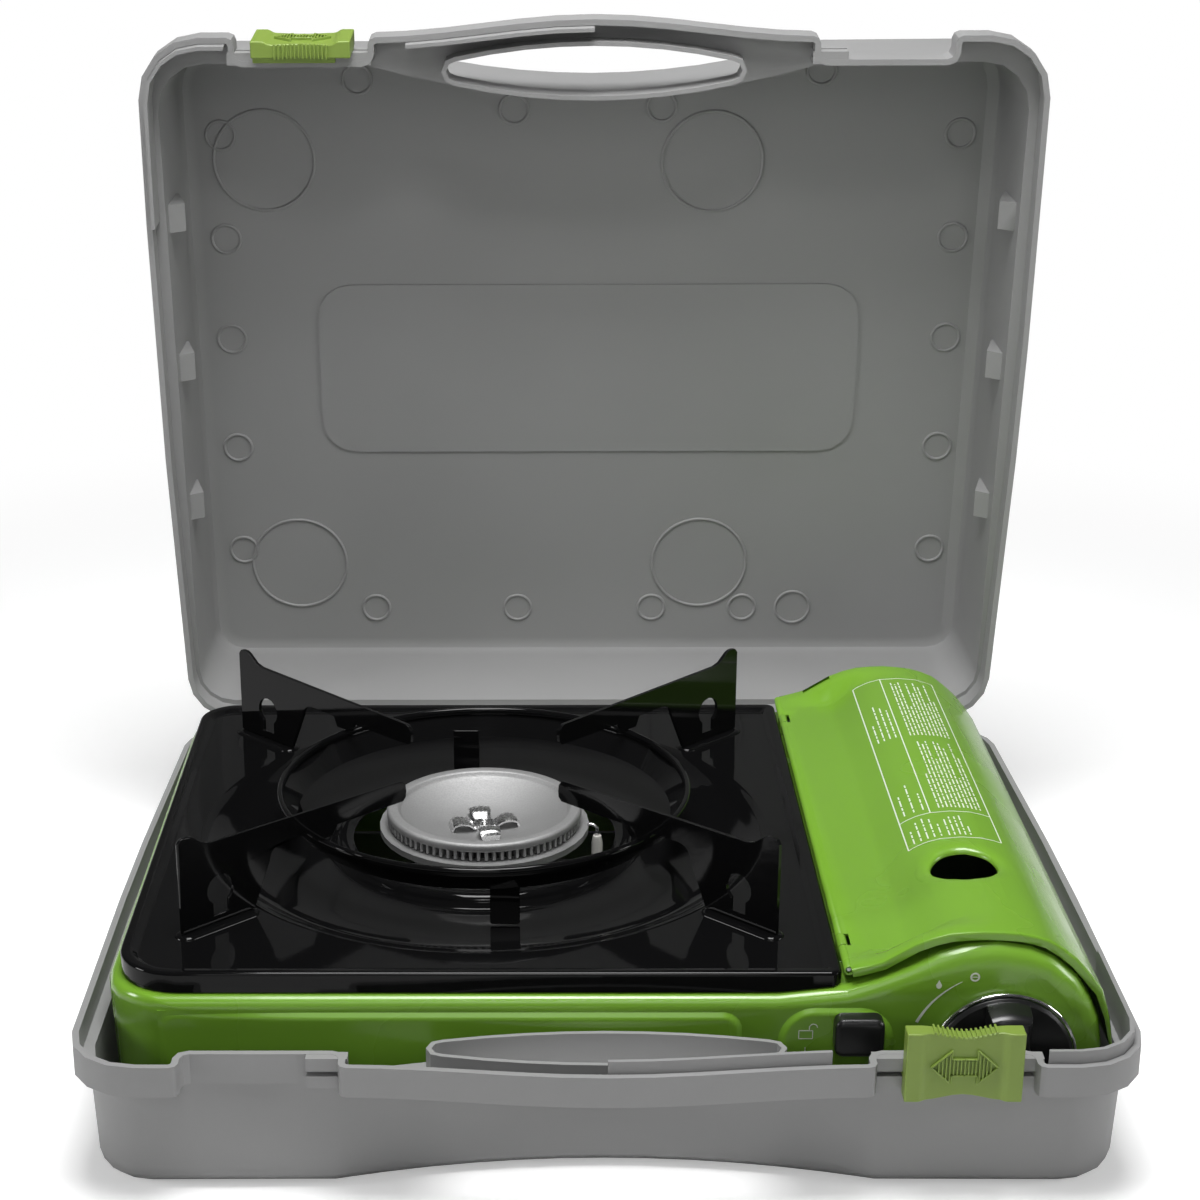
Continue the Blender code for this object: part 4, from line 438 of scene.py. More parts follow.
def skin(name, rows, closed, thickness=0.0, capped=False):
    """A grid of points as a surface; with a thickness it becomes a sheet, its outer face as given."""
    bm = bmesh.new()
    grid = [[bm.verts.new(point) for point in row] for row in rows]
    for low, high in zip(grid, grid[1:]):
        for i in range(len(low) - (not closed)):
            j = (i + 1) % len(low)
            bm.faces.new((low[i], low[j], high[j], high[i]))
    if capped:
        bm.faces.new(grid[0][::-1])
        bm.faces.new(grid[-1])
    obj = from_bmesh(name, bm, outward=capped)
    if thickness:
        sheet = obj.modifiers.new("sheet", "SOLIDIFY")
        sheet.thickness = thickness
        sheet.offset = -1.0
        sheet.use_even_offset = True
        applied(obj)
    return obj


def revolved(name, profile, centre, segments):
    """A profile of (radius, height) turned about the vertical through centre."""
    turns = full_turn(segments)
    bm = bmesh.new()
    grid = [[bm.verts.new((*polar(centre, r, turn), z)) for turn in turns] for r, z in profile]
    for low, high in zip(grid, grid[1:] + grid[:1]):
        for i in range(segments):
            j = (i + 1) % segments
            bm.faces.new((low[i], low[j], high[j], high[i]))
    bmesh.ops.remove_doubles(bm, verts=bm.verts, dist=SEAM_DISTANCE)
    return from_bmesh(name, bm)


def stack(name, rings, matrix=None):
    """A closed solid through rings of points with a flat face at each end."""
    obj = skin(name, rings, True, capped=True)
    if matrix is not None:
        obj.data.transform(matrix)
    return obj


def merge_into(obj, *others):
    """Put other meshes into one object; they may overlap it."""
    bm = bmesh.new()
    bm.from_mesh(obj.data)
    for other in others:
        bm.from_mesh(other.data)
        discard(other)
    bm.to_mesh(obj.data)
    bm.free()
    return obj


def carve(obj, cutter):
    """Cut one mesh out of another, and remove the cutter."""
    change = obj.modifiers.new("carve", "BOOLEAN")
    change.operation = "DIFFERENCE"
    change.object = cutter
    applied(obj)
    discard(cutter)
    return obj


def shaded_as(obj, source):
    """Take the shading of a surface from the mesh that it was cut from, and remove that mesh."""
    shading = obj.modifiers.new("shading", "DATA_TRANSFER")
    shading.object = source
    shading.use_loop_data = True
    shading.data_types_loops = {"CUSTOM_NORMAL"}
    shading.loop_mapping = "POLYINTERP_NEAREST"
    applied(obj)
    discard(source)
    return obj


# ====================================================================== Geometry Nodes
def new_group(name, inputs):
    """A geometry node group; returns it, its input and output nodes and each input's identifier."""
    group = bpy.data.node_groups.new(name, "GeometryNodeTree")
    face = group.interface
    face.new_socket("Geometry", in_out="INPUT", socket_type="NodeSocketGeometry")
    keys = {}
    for label, kind in inputs:
        keys[label] = face.new_socket(label, in_out="INPUT", socket_type=f"NodeSocket{kind}").identifier
    face.new_socket("Geometry", in_out="OUTPUT", socket_type="NodeSocketGeometry")
    return group, group.nodes.new("NodeGroupInput"), group.nodes.new("NodeGroupOutput"), keys


def realized(group, out, given, instances):
    """End a group: instances become mesh and take the material input."""
    real = group.nodes.new("GeometryNodeRealizeInstances")
    paint = group.nodes.new("GeometryNodeSetMaterial")
    connect(
        group,
        (instances, real.inputs[0]),
        (real.outputs[0], paint.inputs["Geometry"]),
        (given.outputs["Material"], paint.inputs["Material"]),
        (paint.outputs["Geometry"], out.inputs["Geometry"]),
    )


def crown_group():
    """Blocks that stand in a circle, each turned to face outwards."""
    group, given, out, keys = new_group(
        "crown",
        (("Count", "Int"), ("Radius", "Float"), ("Block", "Vector"), ("Centre", "Vector"),
         ("Material", "Material")),
    )
    nodes, inputs = group.nodes, given.outputs
    circle = nodes.new("GeometryNodeMeshCircle")
    block = nodes.new("GeometryNodeMeshCube")
    index = nodes.new("GeometryNodeInputIndex")
    share = add_node(group, "ShaderNodeMath", operation="DIVIDE")
    turn = add_node(group, "ShaderNodeMath", operation="MULTIPLY")
    turn.inputs[1].default_value = 2 * math.pi
    angle = nodes.new("ShaderNodeCombineXYZ")
    place = nodes.new("GeometryNodeInstanceOnPoints")
    move = nodes.new("GeometryNodeTransform")
    connect(
        group,
        (inputs["Count"], circle.inputs["Vertices"]),
        (inputs["Radius"], circle.inputs["Radius"]),
        (inputs["Block"], block.inputs["Size"]),
        (index.outputs[0], share.inputs[0]),
        (inputs["Count"], share.inputs[1]),
        (share.outputs[0], turn.inputs[0]),
        (turn.outputs[0], angle.inputs["Z"]),
        (circle.outputs["Mesh"], place.inputs["Points"]),
        (block.outputs["Mesh"], place.inputs["Instance"]),
        (angle.outputs["Vector"], place.inputs["Rotation"]),
        (place.outputs["Instances"], move.inputs["Geometry"]),
        (inputs["Centre"], move.inputs["Translation"]),
    )
    realized(group, out, given, move.outputs["Geometry"])
    return group, keys


def row_group():
    """Bars of one size in a row that follows a cosine dip."""
    group, given, out, keys = new_group(
        "row",
        (("Count", "Int"), ("Start", "Vector"), ("Pitch", "Vector"), ("Bar", "Vector"),
         ("Dip", "Float"), ("Span", "Float"), ("Material", "Material")),
    )
    nodes, inputs = group.nodes, given.outputs

    def maths(operation, *values):
        node = add_node(group, "ShaderNodeMath", operation=operation)
        for socket, value in zip(node.inputs, values):
            if isinstance(value, (int, float)):
                socket.default_value = value
            else:
                connect(group, (value, socket))
        return node.outputs[0]

    index = nodes.new("GeometryNodeInputIndex")
    share = maths("DIVIDE", index.outputs[0], maths("SUBTRACT", inputs["Count"], 1.0))
    turn = maths("MULTIPLY", maths("MULTIPLY_ADD", share, 2.0, -1.0), inputs["Span"])
    dip = maths("MULTIPLY_ADD", maths("COSINE", turn), 0.5, 0.5)
    down = maths("MULTIPLY", maths("MULTIPLY", dip, inputs["Dip"]), -1.0)
    line = nodes.new("GeometryNodeMeshLine")
    offset = nodes.new("ShaderNodeCombineXYZ")
    move = nodes.new("GeometryNodeSetPosition")
    bar = nodes.new("GeometryNodeMeshCube")
    place = nodes.new("GeometryNodeInstanceOnPoints")
    connect(
        group,
        (inputs["Count"], line.inputs["Count"]),
        (inputs["Start"], line.inputs["Start Location"]),
        (inputs["Pitch"], line.inputs["Offset"]),
        (down, offset.inputs["Z"]),
        (line.outputs["Mesh"], move.inputs["Geometry"]),
        (offset.outputs["Vector"], move.inputs["Offset"]),
        (inputs["Bar"], bar.inputs["Size"]),
        (move.outputs["Geometry"], place.inputs["Points"]),
        (bar.outputs["Mesh"], place.inputs["Instance"]),
    )
    realized(group, out, given, place.outputs["Instances"])
    return group, keys


def hoops_group():
    """A thin round hoop at every point of the mesh that comes in, its size from the points."""
    group, given, out, keys = new_group(
        "hoops", (("Radius", "Float"), ("Wire", "Float"), ("Material", "Material")),
    )
    inputs = given.outputs
    path = add_node(group, "GeometryNodeCurvePrimitiveCircle", Resolution=64)
    wire = add_node(group, "GeometryNodeCurvePrimitiveCircle", Resolution=10)
    hoop = group.nodes.new("GeometryNodeCurveToMesh")
    place = group.nodes.new("GeometryNodeInstanceOnPoints")
    connect(
        group,
        (inputs["Radius"], path.inputs["Radius"]),
        (inputs["Wire"], wire.inputs["Radius"]),
        (path.outputs["Curve"], hoop.inputs["Curve"]),
        (wire.outputs["Curve"], hoop.inputs["Profile Curve"]),
        (inputs["Geometry"], place.inputs["Points"]),
        (hoop.outputs["Mesh"], place.inputs["Instance"]),
    )
    realized(group, out, given, place.outputs["Instances"])
    return group, keys


def grown(name, group_and_keys, values, points=((0.0, 0.0, 0.0),)):
    """Run a node group on points and keep the mesh that it makes."""
    group, keys = group_and_keys
    mesh = bpy.data.meshes.new(name)
    mesh.from_pydata([Vector(p) for p in points], [], [])
    obj = link_mesh(name, mesh)
    modifier = obj.modifiers.new("repeat", "NODES")
    modifier.node_group = group
    for label, value in values.items():
        modifier[keys[label]] = value
    return applied(obj)


# ====================================================================== stage
FLOOR_GAP = 0.0002           # the floor lies this far under the case
FLOOR_GREY = (0.82, 0.82, 0.82, 1.0)
FLOOR_FADE = (0.45, 0.90)    # from grey to plain white, as distance from the middle
LIGHTS = (                   # name, place, target, size and share of the key light's power
    ("overhead", (0.0, -0.16, 1.15), (0.0, -0.05, 0.0), 0.50, 0.62),
    ("front", (-0.10, -1.80, 1.05), (0.0, 0.1, 0.12), 0.70, 0.14),
    ("left_strip", (-1.5, -0.38, 0.55), (0.0, 0.1, 0.15), 0.4, 0.28),
    ("right_strip", (1.5, -0.38, 0.55), (0.0, 0.1, 0.15), 0.4, 0.25),
)
SPOT = ("soft_spot", (0.0, -1.00, 1.35), (0.0, 0.19, 0.17), 0.24, 2.0)
SPOT_ANGLE = math.radians(16)


def add_light(context, kind, stage, name, place, target, size, share):
    """A light at a place, turned towards its target."""
    lamp = bpy.data.lights.new(name, kind)
    lamp.energy = stage.key_power * share
    obj = bpy.data.objects.new(name, lamp)
    obj.location = place
    obj.rotation_euler = (Vector(target) - Vector(place)).to_track_quat("-Z", "Y").to_euler()
    context.scene.collection.objects.link(obj)
    if kind == "AREA":
        lamp.shape, lamp.size = "SQUARE", size
    else:
        lamp.spot_size, lamp.spot_blend, lamp.shadow_soft_size = SPOT_ANGLE, 1.0, size


class STOVE_OT_stage(bpy.types.Operator):
    """Make the floor, the backdrop, the lights and the camera"""

    bl_idname = "stove.stage"
    bl_label = "Stage"

    def execute(self, context):
        stage = context.scene.stove_stage
        self.floor()
        self.lights(context, stage)
        self.camera(context, stage)
        context.scene.view_settings.view_transform = "Standard"
        return {"FINISHED"}

    def floor(self):
        """A pale sheet that runs level under the case and curves up far behind it."""
        half, front, bend, back, top = 6.0, -5.0, 3.0, 4.5, 5.0
        rise = [(front, 0.0), (bend, 0.0)]
        for step in range(1, 13):
            turn = math.radians(90 * step / 12)
            reach = back - bend
            rise.append((bend + reach * math.sin(turn), reach * (1 - math.cos(turn))))
        rise.append((back, top))
        bm = bmesh.new()
        rows = [[bm.verts.new((x, y, z - FLOOR_GAP)) for x in (-half, half)] for y, z in rise]
        for low, high in zip(rows, rows[1:]):
            bm.faces.new((low[0], low[1], high[1], high[0]))
        floor = from_bmesh("stage_floor", bm, outward=False)
        material, tree, shader = new_material("floor_look")
        fill(shader, {"Base Color": FLOOR_GREY, "Roughness": 0.6, "Specular IOR Level": 0.2})
        glow = add_node(tree, "ShaderNodeEmission", Strength=0.35)
        white = add_node(tree, "ShaderNodeEmission", Strength=1.0)
        rays = tree.nodes.new("ShaderNodeLightPath")
        place = tree.nodes.new("ShaderNodeTexCoord")
        reach = add_node(tree, "ShaderNodeVectorMath", operation="LENGTH")
        far = ramp(tree, reach.outputs["Value"], 0.0, 1.0, *FLOOR_FADE)
        add = tree.nodes.new("ShaderNodeAddShader")
        fade = tree.nodes.new("ShaderNodeMixShader")
        mix = tree.nodes.new("ShaderNodeMixShader")
        out = tree.nodes["Material Output"]
        connect(
            tree,
            (place.outputs["Object"], reach.inputs[0]),
            (shader.outputs["BSDF"], add.inputs[0]),
            (glow.outputs["Emission"], add.inputs[1]),
            (far, fade.inputs["Fac"]),
            (add.outputs["Shader"], fade.inputs[1]),
            (white.outputs["Emission"], fade.inputs[2]),
            (rays.outputs["Is Camera Ray"], mix.inputs["Fac"]),
            (shader.outputs["BSDF"], mix.inputs[1]),
            (fade.outputs["Shader"], mix.inputs[2]),
            (mix.outputs["Shader"], out.inputs["Surface"]),
        )
        floor.data.materials.append(material)
        floor.data.shade_smooth()

    def lights(self, context, stage):
        world = bpy.data.worlds.new("studio")
        context.scene.world = world
        world.use_nodes = True
        tree = world.node_tree
        background = tree.nodes["Background"]
        fill(background, {"Color": (1.0, 1.0, 1.0, 1.0)})
        rays = tree.nodes.new("ShaderNodeLightPath")
        level = tree.nodes.new("ShaderNodeMapRange")
        fill(level, {"To Min": stage.sky, "To Max": 1.0})
        connect(
            tree,
            (rays.outputs["Is Camera Ray"], level.inputs["Value"]),
            (level.outputs["Result"], background.inputs["Strength"]),
        )
        for light in LIGHTS:
            add_light(context, "AREA", stage, *light)
        add_light(context, "SPOT", stage, *SPOT)

    def camera(self, context, stage):
        pitch, yaw = stage.camera_pitch, stage.camera_yaw
        ahead = Vector(
            (math.sin(yaw) * math.cos(pitch), math.cos(yaw) * math.cos(pitch), -math.sin(pitch))
        )
        camera = bpy.data.cameras.new("camera")
        camera.lens = stage.lens
        camera.sensor_width = 36.0
        camera.shift_x, camera.shift_y = stage.shift
        camera.clip_end = 50.0
        obj = bpy.data.objects.new("camera", camera)
        turn = ahead.to_track_quat("-Z", "Y").to_matrix().to_4x4()
        roll = Matrix.Rotation(-stage.camera_roll, 4, "Z")
        obj.matrix_world = Matrix.Translation(stage.camera_place) @ turn @ roll
        context.scene.collection.objects.link(obj)
        context.scene.camera = obj


# Rounding of the edges in metres and the angle up to which a surface reads as smooth, per finish.
EDGE_OF_SLOT = {
    "case_plastic": (0.0005, 40.0),
    "latch_plastic": (0.0006, 35.0),
    "green_enamel": (0.0004, 48.0),
    "black_enamel": (0.0006, 50.0),
    "cast_aluminium": (0.0003, 40.0),
    "zinc_steel": (0.0002, 40.0),
    "stainless_steel": (0.0002, 50.0),
    "brass": (0.0002, 50.0),
    "black_plastic": (0.0004, 40.0),
    "chrome": (0.0002, 45.0),
    "rubber": (0.0004, 40.0),
    "ceramic": (0.0002, 50.0),
    "lead_insulation": (0.0, 60.0),
}

# Nodes that an operator below makes anew.
REMADE = {"drip_pan", "support_ring", "burner_cap", "cap_clip", "base_latch", "lid_latch"}


class STOVE_OT_surfaces(bpy.types.Operator):
    """Give every node its finish, merged surfaces and rounded edges"""

    bl_idname = "stove.surfaces"
    bl_label = "Surfaces"

    def execute(self, context):
        for entry in frame["record"]["subparts"]:
            name, slot = entry["node"], entry["material_slot"]
            node = NODES[name]
            node.data.materials.clear()
            node.data.materials.append(look(slot))
            if name in REMADE:
                continue
            softened(name, slot, *EDGE_OF_SLOT[slot])
        return {"FINISHED"}


# ====================================================================== drip pan and its ring
PAN_CORNERS = (0.022, 0.004, 0.004, 0.016)
SMALLEST_CORNER = 0.0012
PAN_FIELD_DROP = 0.0019      # the flat of the pan lies this far below its raised edge
PAN_SKIRT = 0.0075
PAN_LIP = ((0.0034, 0.0), (0.0044, -0.0004), (0.0057, -0.0015), (0.0066, -0.0019))
PAN_DISH = (                 # radius, and height below the flat of the pan
    (0.1120, 0.0), (0.1085, -0.0010), (0.1020, -0.0046), (0.0950, -0.0068), (0.0820, -0.0078),
    (0.0640, -0.0080), (0.0605, -0.0066), (0.0580, -0.0038), (0.0550, -0.0032), (0.0520, -0.0040),
)
PAN_SHEET = 0.0010
HUMP_START, HUMP_RISE = 0.0600, 0.117   # the body under the pan rises from here, and how steeply
BEAD_RUN = (0.1120, 0.1480)  # along a fin, from the burner's middle
BEAD_HALF = 0.0046
BEAD_RISE = 0.0010
FIN_ANGLE = math.radians(42.9)
# how far in from a bead's edge, and the share of its height there
BEAD_DOME = ((0.0, 0.0), (0.0004, 0.45), (0.0009, 0.8), (0.0016, 0.97), (0.0026, 1.0))
RING_OUTER, RING_HEIGHT, RING_SHEET = 0.0815, 0.0110, 0.0012      # radius, height, thickness
RING_SLOPE = 0.0065          # the ring is this much smaller at its foot
RING_ROLL = 0.0013           # radius of the ring's rolled top edge
RING_FOLD = 0.0026           # the roll ends this far below the top
TAB_X, TAB_HALF, TAB_INSET = 0.0090, 0.0055, 0.0008     # place, half width and inset of the two feet


def burner_centre():
    return middle_of("burner_cap")[:2]


def pan_outline(inset, steps=9, side_steps=20):
    """The pan's outline this far in, its points on lines from the burner's middle."""
    low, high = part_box("drip_pan")
    cx, cy = burner_centre()
    radii = [max(radius - inset, SMALLEST_CORNER) for radius in PAN_CORNERS]
    corners = rounded_rectangle(
        low.x + inset, high.x - inset, low.y + inset, high.y - inset, radii, steps
    )
    points = []
    for corner in range(4):
        first = corner * (steps + 1)
        run = corners[first:first + steps + 1]
        following = corners[(first + steps + 1) % len(corners)]
        points += run
        start = math.atan2(run[-1][1] - cy, run[-1][0] - cx)
        sweep = (math.atan2(following[1] - cy, following[0] - cx) - start) % (2 * math.pi)
        for step in range(1, side_steps):
            turn = start + sweep * step / side_steps
            if corner % 2:
                points.append((run[-1][0], cy + (run[-1][0] - cx) * math.tan(turn)))
            else:
                points.append((cx + (run[-1][1] - cy) / math.tan(turn), run[-1][1]))
    return points


def fin_places():
    """The frames of the four fins: their X runs outwards along the fin."""
    cx, cy = burner_centre()
    turns = (FIN_ANGLE, math.pi - FIN_ANGLE, math.pi + FIN_ANGLE, -FIN_ANGLE)
    return [Matrix.Translation((cx, cy, 0.0)) @ Matrix.Rotation(turn, 4, "Z") for turn in turns]


def domed_bead(name, matrix, base, rise):
    """A long low bump with round ends."""
    rings = []
    for inset, share in BEAD_DOME:
        half = BEAD_HALF - inset
        outline = rounded_rectangle(
            BEAD_RUN[0] + inset, BEAD_RUN[1] - inset, -half, half, (half * 0.98,) * 4, 8
        )
        rings.append([(x, y, base + rise * share) for x, y in outline])
    rings.insert(0, [(x, y, base - PAN_SHEET / 2) for x, y, _ in rings[0]])
    return stack(name, rings, matrix)


class STOVE_OT_pan(bpy.types.Operator):
    """Make the drip pan and the ring that stands in it"""

    bl_idname = "stove.pan"
    bl_label = "Drip pan"

    def execute(self, context):
        self.pan(context.scene.stove_sizes.edge_roll)
        self.ring()
        return {"FINISHED"}

    def pan(self, roll):
        cx, cy = burner_centre()
        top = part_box("drip_pan")[1].z
        field = top - PAN_FIELD_DROP
        outline = pan_outline(0.0)
        skirt = [max(top - PAN_SKIRT, top - PAN_SKIRT + HUMP_RISE * (x - HUMP_START)) for x, _ in outline]
        rows = [[(x, y, z) for (x, y), z in zip(outline, skirt)]]
        rows.append([(x, y, top - roll) for x, y in outline])
        for step in range(1, 6):
            turn = math.radians(90 * step / 5)
            inset = roll * (1 - math.cos(turn))
            z = top - roll * (1 - math.sin(turn))
            rows.append([(x, y, z) for x, y in pan_outline(inset)])
        for inset, drop in PAN_LIP:
            rows.append([(x, y, top + drop) for x, y in pan_outline(inset)])
        turns = [math.atan2(y - cy, x - cx) for x, y in outline]
        for radius, down in spline(PAN_DISH, 5):
            rows.append([(*polar((cx, cy), radius, turn), field + down) for turn in turns])
        pan = skin("drip_pan_fine", rows, True, PAN_SHEET)
        beads = [
            domed_bead(f"bead_{i}", place, field, BEAD_RISE) for i, place in enumerate(fin_places())
        ]
        merge_into(pan, *beads)
        rounded(pan, 0.0, smooth_deg=50.0)
        finish_piece(pan, "black_enamel", body_of("drip_pan"), "drip_pan")

    def ring(self):
        low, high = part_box("support_ring")
        centre = burner_centre()
        outer, top, sheet, slope, roll = RING_OUTER, high.z, RING_SHEET, RING_SLOPE, RING_ROLL
        foot, fold = top - RING_HEIGHT, top - RING_FOLD
        profile = [
            (outer - roll * (1 - math.cos(turn)), top - roll * (1 - math.sin(turn)))
            for turn in (math.radians(20 * step) for step in range(10))
        ]
        profile += [
            (outer - 2 * roll, fold), (outer - sheet - 0.0004, fold - 0.0006),
            (outer - slope - sheet, foot), (outer - slope - sheet / 2, foot - 0.0002),
            (outer - slope, foot), (outer - 0.0003, fold - 0.0006), (outer, fold),
        ]
        ring = rounded(revolved("support_ring_fine", profile, centre, 160), 0.0, smooth_deg=50.0)
        tabs = []
        for side in (1, -1):
            x = centre[0] + side * TAB_X
            y = centre[1] - side * (outer - slope - sheet / 2 - TAB_INSET)
            outline = rounded_rectangle(
                x - TAB_HALF, x + TAB_HALF, low.z, foot + 0.003, (0.0008,) * 4, 3
            )
            rings = [[(px, y + half, pz) for px, pz in outline] for half in (-sheet / 2, sheet / 2)]
            tabs.append(rounded(stack("tab", rings), 0.0003))
        merge_into(ring, *tabs)
        finish_piece(ring, "black_enamel", body_of("support_ring"), "support_ring")


# ====================================================================== burner
CAP_HEIGHT = 0.0092
CAP_PROFILE = (              # radius and height above the cap's underside, from the middle outwards
    (0.0, -0.0010), (0.0080, -0.0010), (0.0140, -0.0003), (0.0200, 0.0012), (0.0260, 0.0036),
    (0.0310, 0.0060), (0.0328, 0.0070), (0.0334, 0.0076), (0.0337, 0.0085), (0.0341, 0.0090),
    (0.0347, 0.0092), (0.0374, 0.0092), (0.0382, 0.0089), (0.0386, 0.0081), (0.0386, 0.0066),
    (0.0382, 0.0059), (0.0340, 0.0054), (0.0328, 0.0030), (0.0328, 0.0010), (0.0280, 0.0004),
    (0.0200, -0.0006), (0.0140, -0.0018), (0.0, -0.0026),
)
TEETH_RADIUS, TEETH_LIFT, TOOTH = 0.0354, 0.0027, (0.0050, 0.00135, 0.0052)
# radius and height of the near-black band behind the teeth: painted shade that stands for the depth of the
# flame ports
PORT_BAND = ((0.0326, 0.0003), (0.0344, 0.0003), (0.0344, 0.0056), (0.0326, 0.0056))
CLIP_TURN = math.radians(12)
CLIP_SHEET, CLIP_DROOP = 0.0009, 0.0005   # thickness, and how far a tab's long edges bend down
CLIP_CUP = (                 # radius and height of the small cup with a rivet in it
    (0.0, 0.0016), (0.0008, 0.0026), (0.0013, 0.0024), (0.0017, 0.0014), (0.0027, 0.0013),
    (0.0034, 0.0022), (0.0039, 0.0027), (0.0045, 0.0024), (0.0049, 0.0012), (0.0050, -0.0002),
    (0.0, -0.0002),
)
CLIP_TAB = (                 # distance from the middle, height and half width of one bent tab
    (0.0032, 0.0008, 0.0026), (0.0044, 0.0012, 0.0028), (0.0056, 0.0022, 0.0031),
    (0.0068, 0.0031, 0.0034), (0.0080, 0.0036, 0.0037), (0.0094, 0.0038, 0.0039),
    (0.0110, 0.0037, 0.0040), (0.0120, 0.0034, 0.0039), (0.0126, 0.0028, 0.0037),
    (0.0129, 0.0018, 0.0035), (0.0130, 0.0006, 0.0033),
)


class STOVE_OT_burner(bpy.types.Operator):
    """Make the burner's cap with its teeth and the clip in the middle"""

    bl_idname = "stove.burner"
    bl_label = "Burner"

    def execute(self, context):
        self.cap(context.scene.stove_sizes.cap_teeth)
        self.clip()
        return {"FINISHED"}

    def cap(self, teeth):
        low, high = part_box("burner_cap")
        centre = burner_centre()
        under = high.z - CAP_HEIGHT
        profile = [(radius, under + height) for radius, height in CAP_PROFILE]
        cap = rounded(revolved("burner_cap_fine", profile, centre, 144), 0.0, smooth_deg=55.0)
        crown = grown(
            "burner_cap_teeth",
            crown_group(),
            {
                "Count": teeth,
                "Radius": TEETH_RADIUS,
                "Block": TOOTH,
                "Centre": (*centre, low.z + TEETH_LIFT),
                "Material": look("cast_aluminium"),
            },
        )
        finish_piece(cap, "cast_aluminium", body_of("burner_cap"), "burner_cap")
        rounded(crown, 0.00025, 1)
        finish_piece(crown, "cast_aluminium", body_of("burner_cap"))
        # a near-black band behind the teeth is painted shade: it darkens the flame ports where their depth
        # would shade them
        ports = revolved("burner_ports", [(r, under + z) for r, z in PORT_BAND], centre, 96)
        rounded(ports, 0.0)
        finish_piece(ports, "cast_aluminium", body_of("burner_cap"), paint="painted_port_shade")

    def clip(self):
        """Four bent tabs round a small cup with a rivet in it."""
        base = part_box("burner_cap")[1].z - CAP_HEIGHT + CAP_PROFILE[0][1]
        place = Matrix.Translation((*burner_centre(), base))
        petals = []
        for number in range(4):
            rows = []
            for x, crest, half in CLIP_TAB:
                rows.append([
                    (x, half * across, crest - CLIP_DROOP * across**4)
                    for across in [side / 6 for side in range(-6, 7)]
                ])
            petal = skin(f"petal_{number}", rows, False, CLIP_SHEET)
            petal.data.transform(place @ Matrix.Rotation(CLIP_TURN + math.pi / 2 * number, 4, "Z"))
            petals.append(petal)
        clip = revolved("cap_clip_fine", CLIP_CUP, (0.0, 0.0), 64)
        clip.data.transform(place)
        merge_into(clip, *petals)
        rounded(clip, 0.0, smooth_deg=50.0)
        finish_piece(clip, "stainless_steel", body_of("cap_clip"), "cap_clip")


# ====================================================================== body
FACE_LEAN = 0.0025           # the front of the body is this much further back at its foot
FACE_TOP = 0.02              # the front leans from this far below the top of the body
FRONT_PANELS = {             # left, right, bottom and top, corner radius, and the run in which it fades in
    "front_panel_left": (-0.1560, 0.0480, 0.0160, 0.0616, 0.0070, 0.0600),
    "front_panel_right": (0.0600, 0.1010, 0.0160, 0.0634, 0.0130, 0.0),
}
PANEL_RISE = 0.0012
PANEL_EDGE = 0.0026          # width of a panel's rounded edge
PANEL_SINK = 0.0004          # a panel's edge lies this far inside the body
PANEL_STEP, PANEL_SHEET = 0.0009, 0.0008


def inside_rounded(x, z, left, right, bottom, top, radius):
    """How far a point lies inside a rectangle with round corners."""
    dx = max(left + radius - x, x - right + radius)
    dz = max(bottom + radius - z, z - top + radius)
    if dx > 0 and dz > 0:
        return radius - math.hypot(dx, dz)
    return min(x - left, right - x, z - bottom, top - z)


SIGHT_HOLE = (0.1330, -0.0650)            # middle of the window in the canister cover
SIGHT_CUT = 0.0178           # the window's edge starts to roll down here
SIGHT_REACH = 0.0008         # the cover's height is taken this far outside the cut
SIGHT_SHEET = 0.0006
SIGHT_ROLL = (               # radius, and depth of the rolled edge below the cover
    (0.0181, 0.0004), (SIGHT_CUT, 0.0), (0.0166, 0.00004), (0.0154, 0.00018), (0.0145, 0.0004),
    (0.0138, 0.00062), (0.0132, 0.0009), (0.0128, 0.0012), (0.0125, 0.0015), (0.0123, 0.0018),
    (0.0121, 0.0023), (0.0120, 0.0028),
)


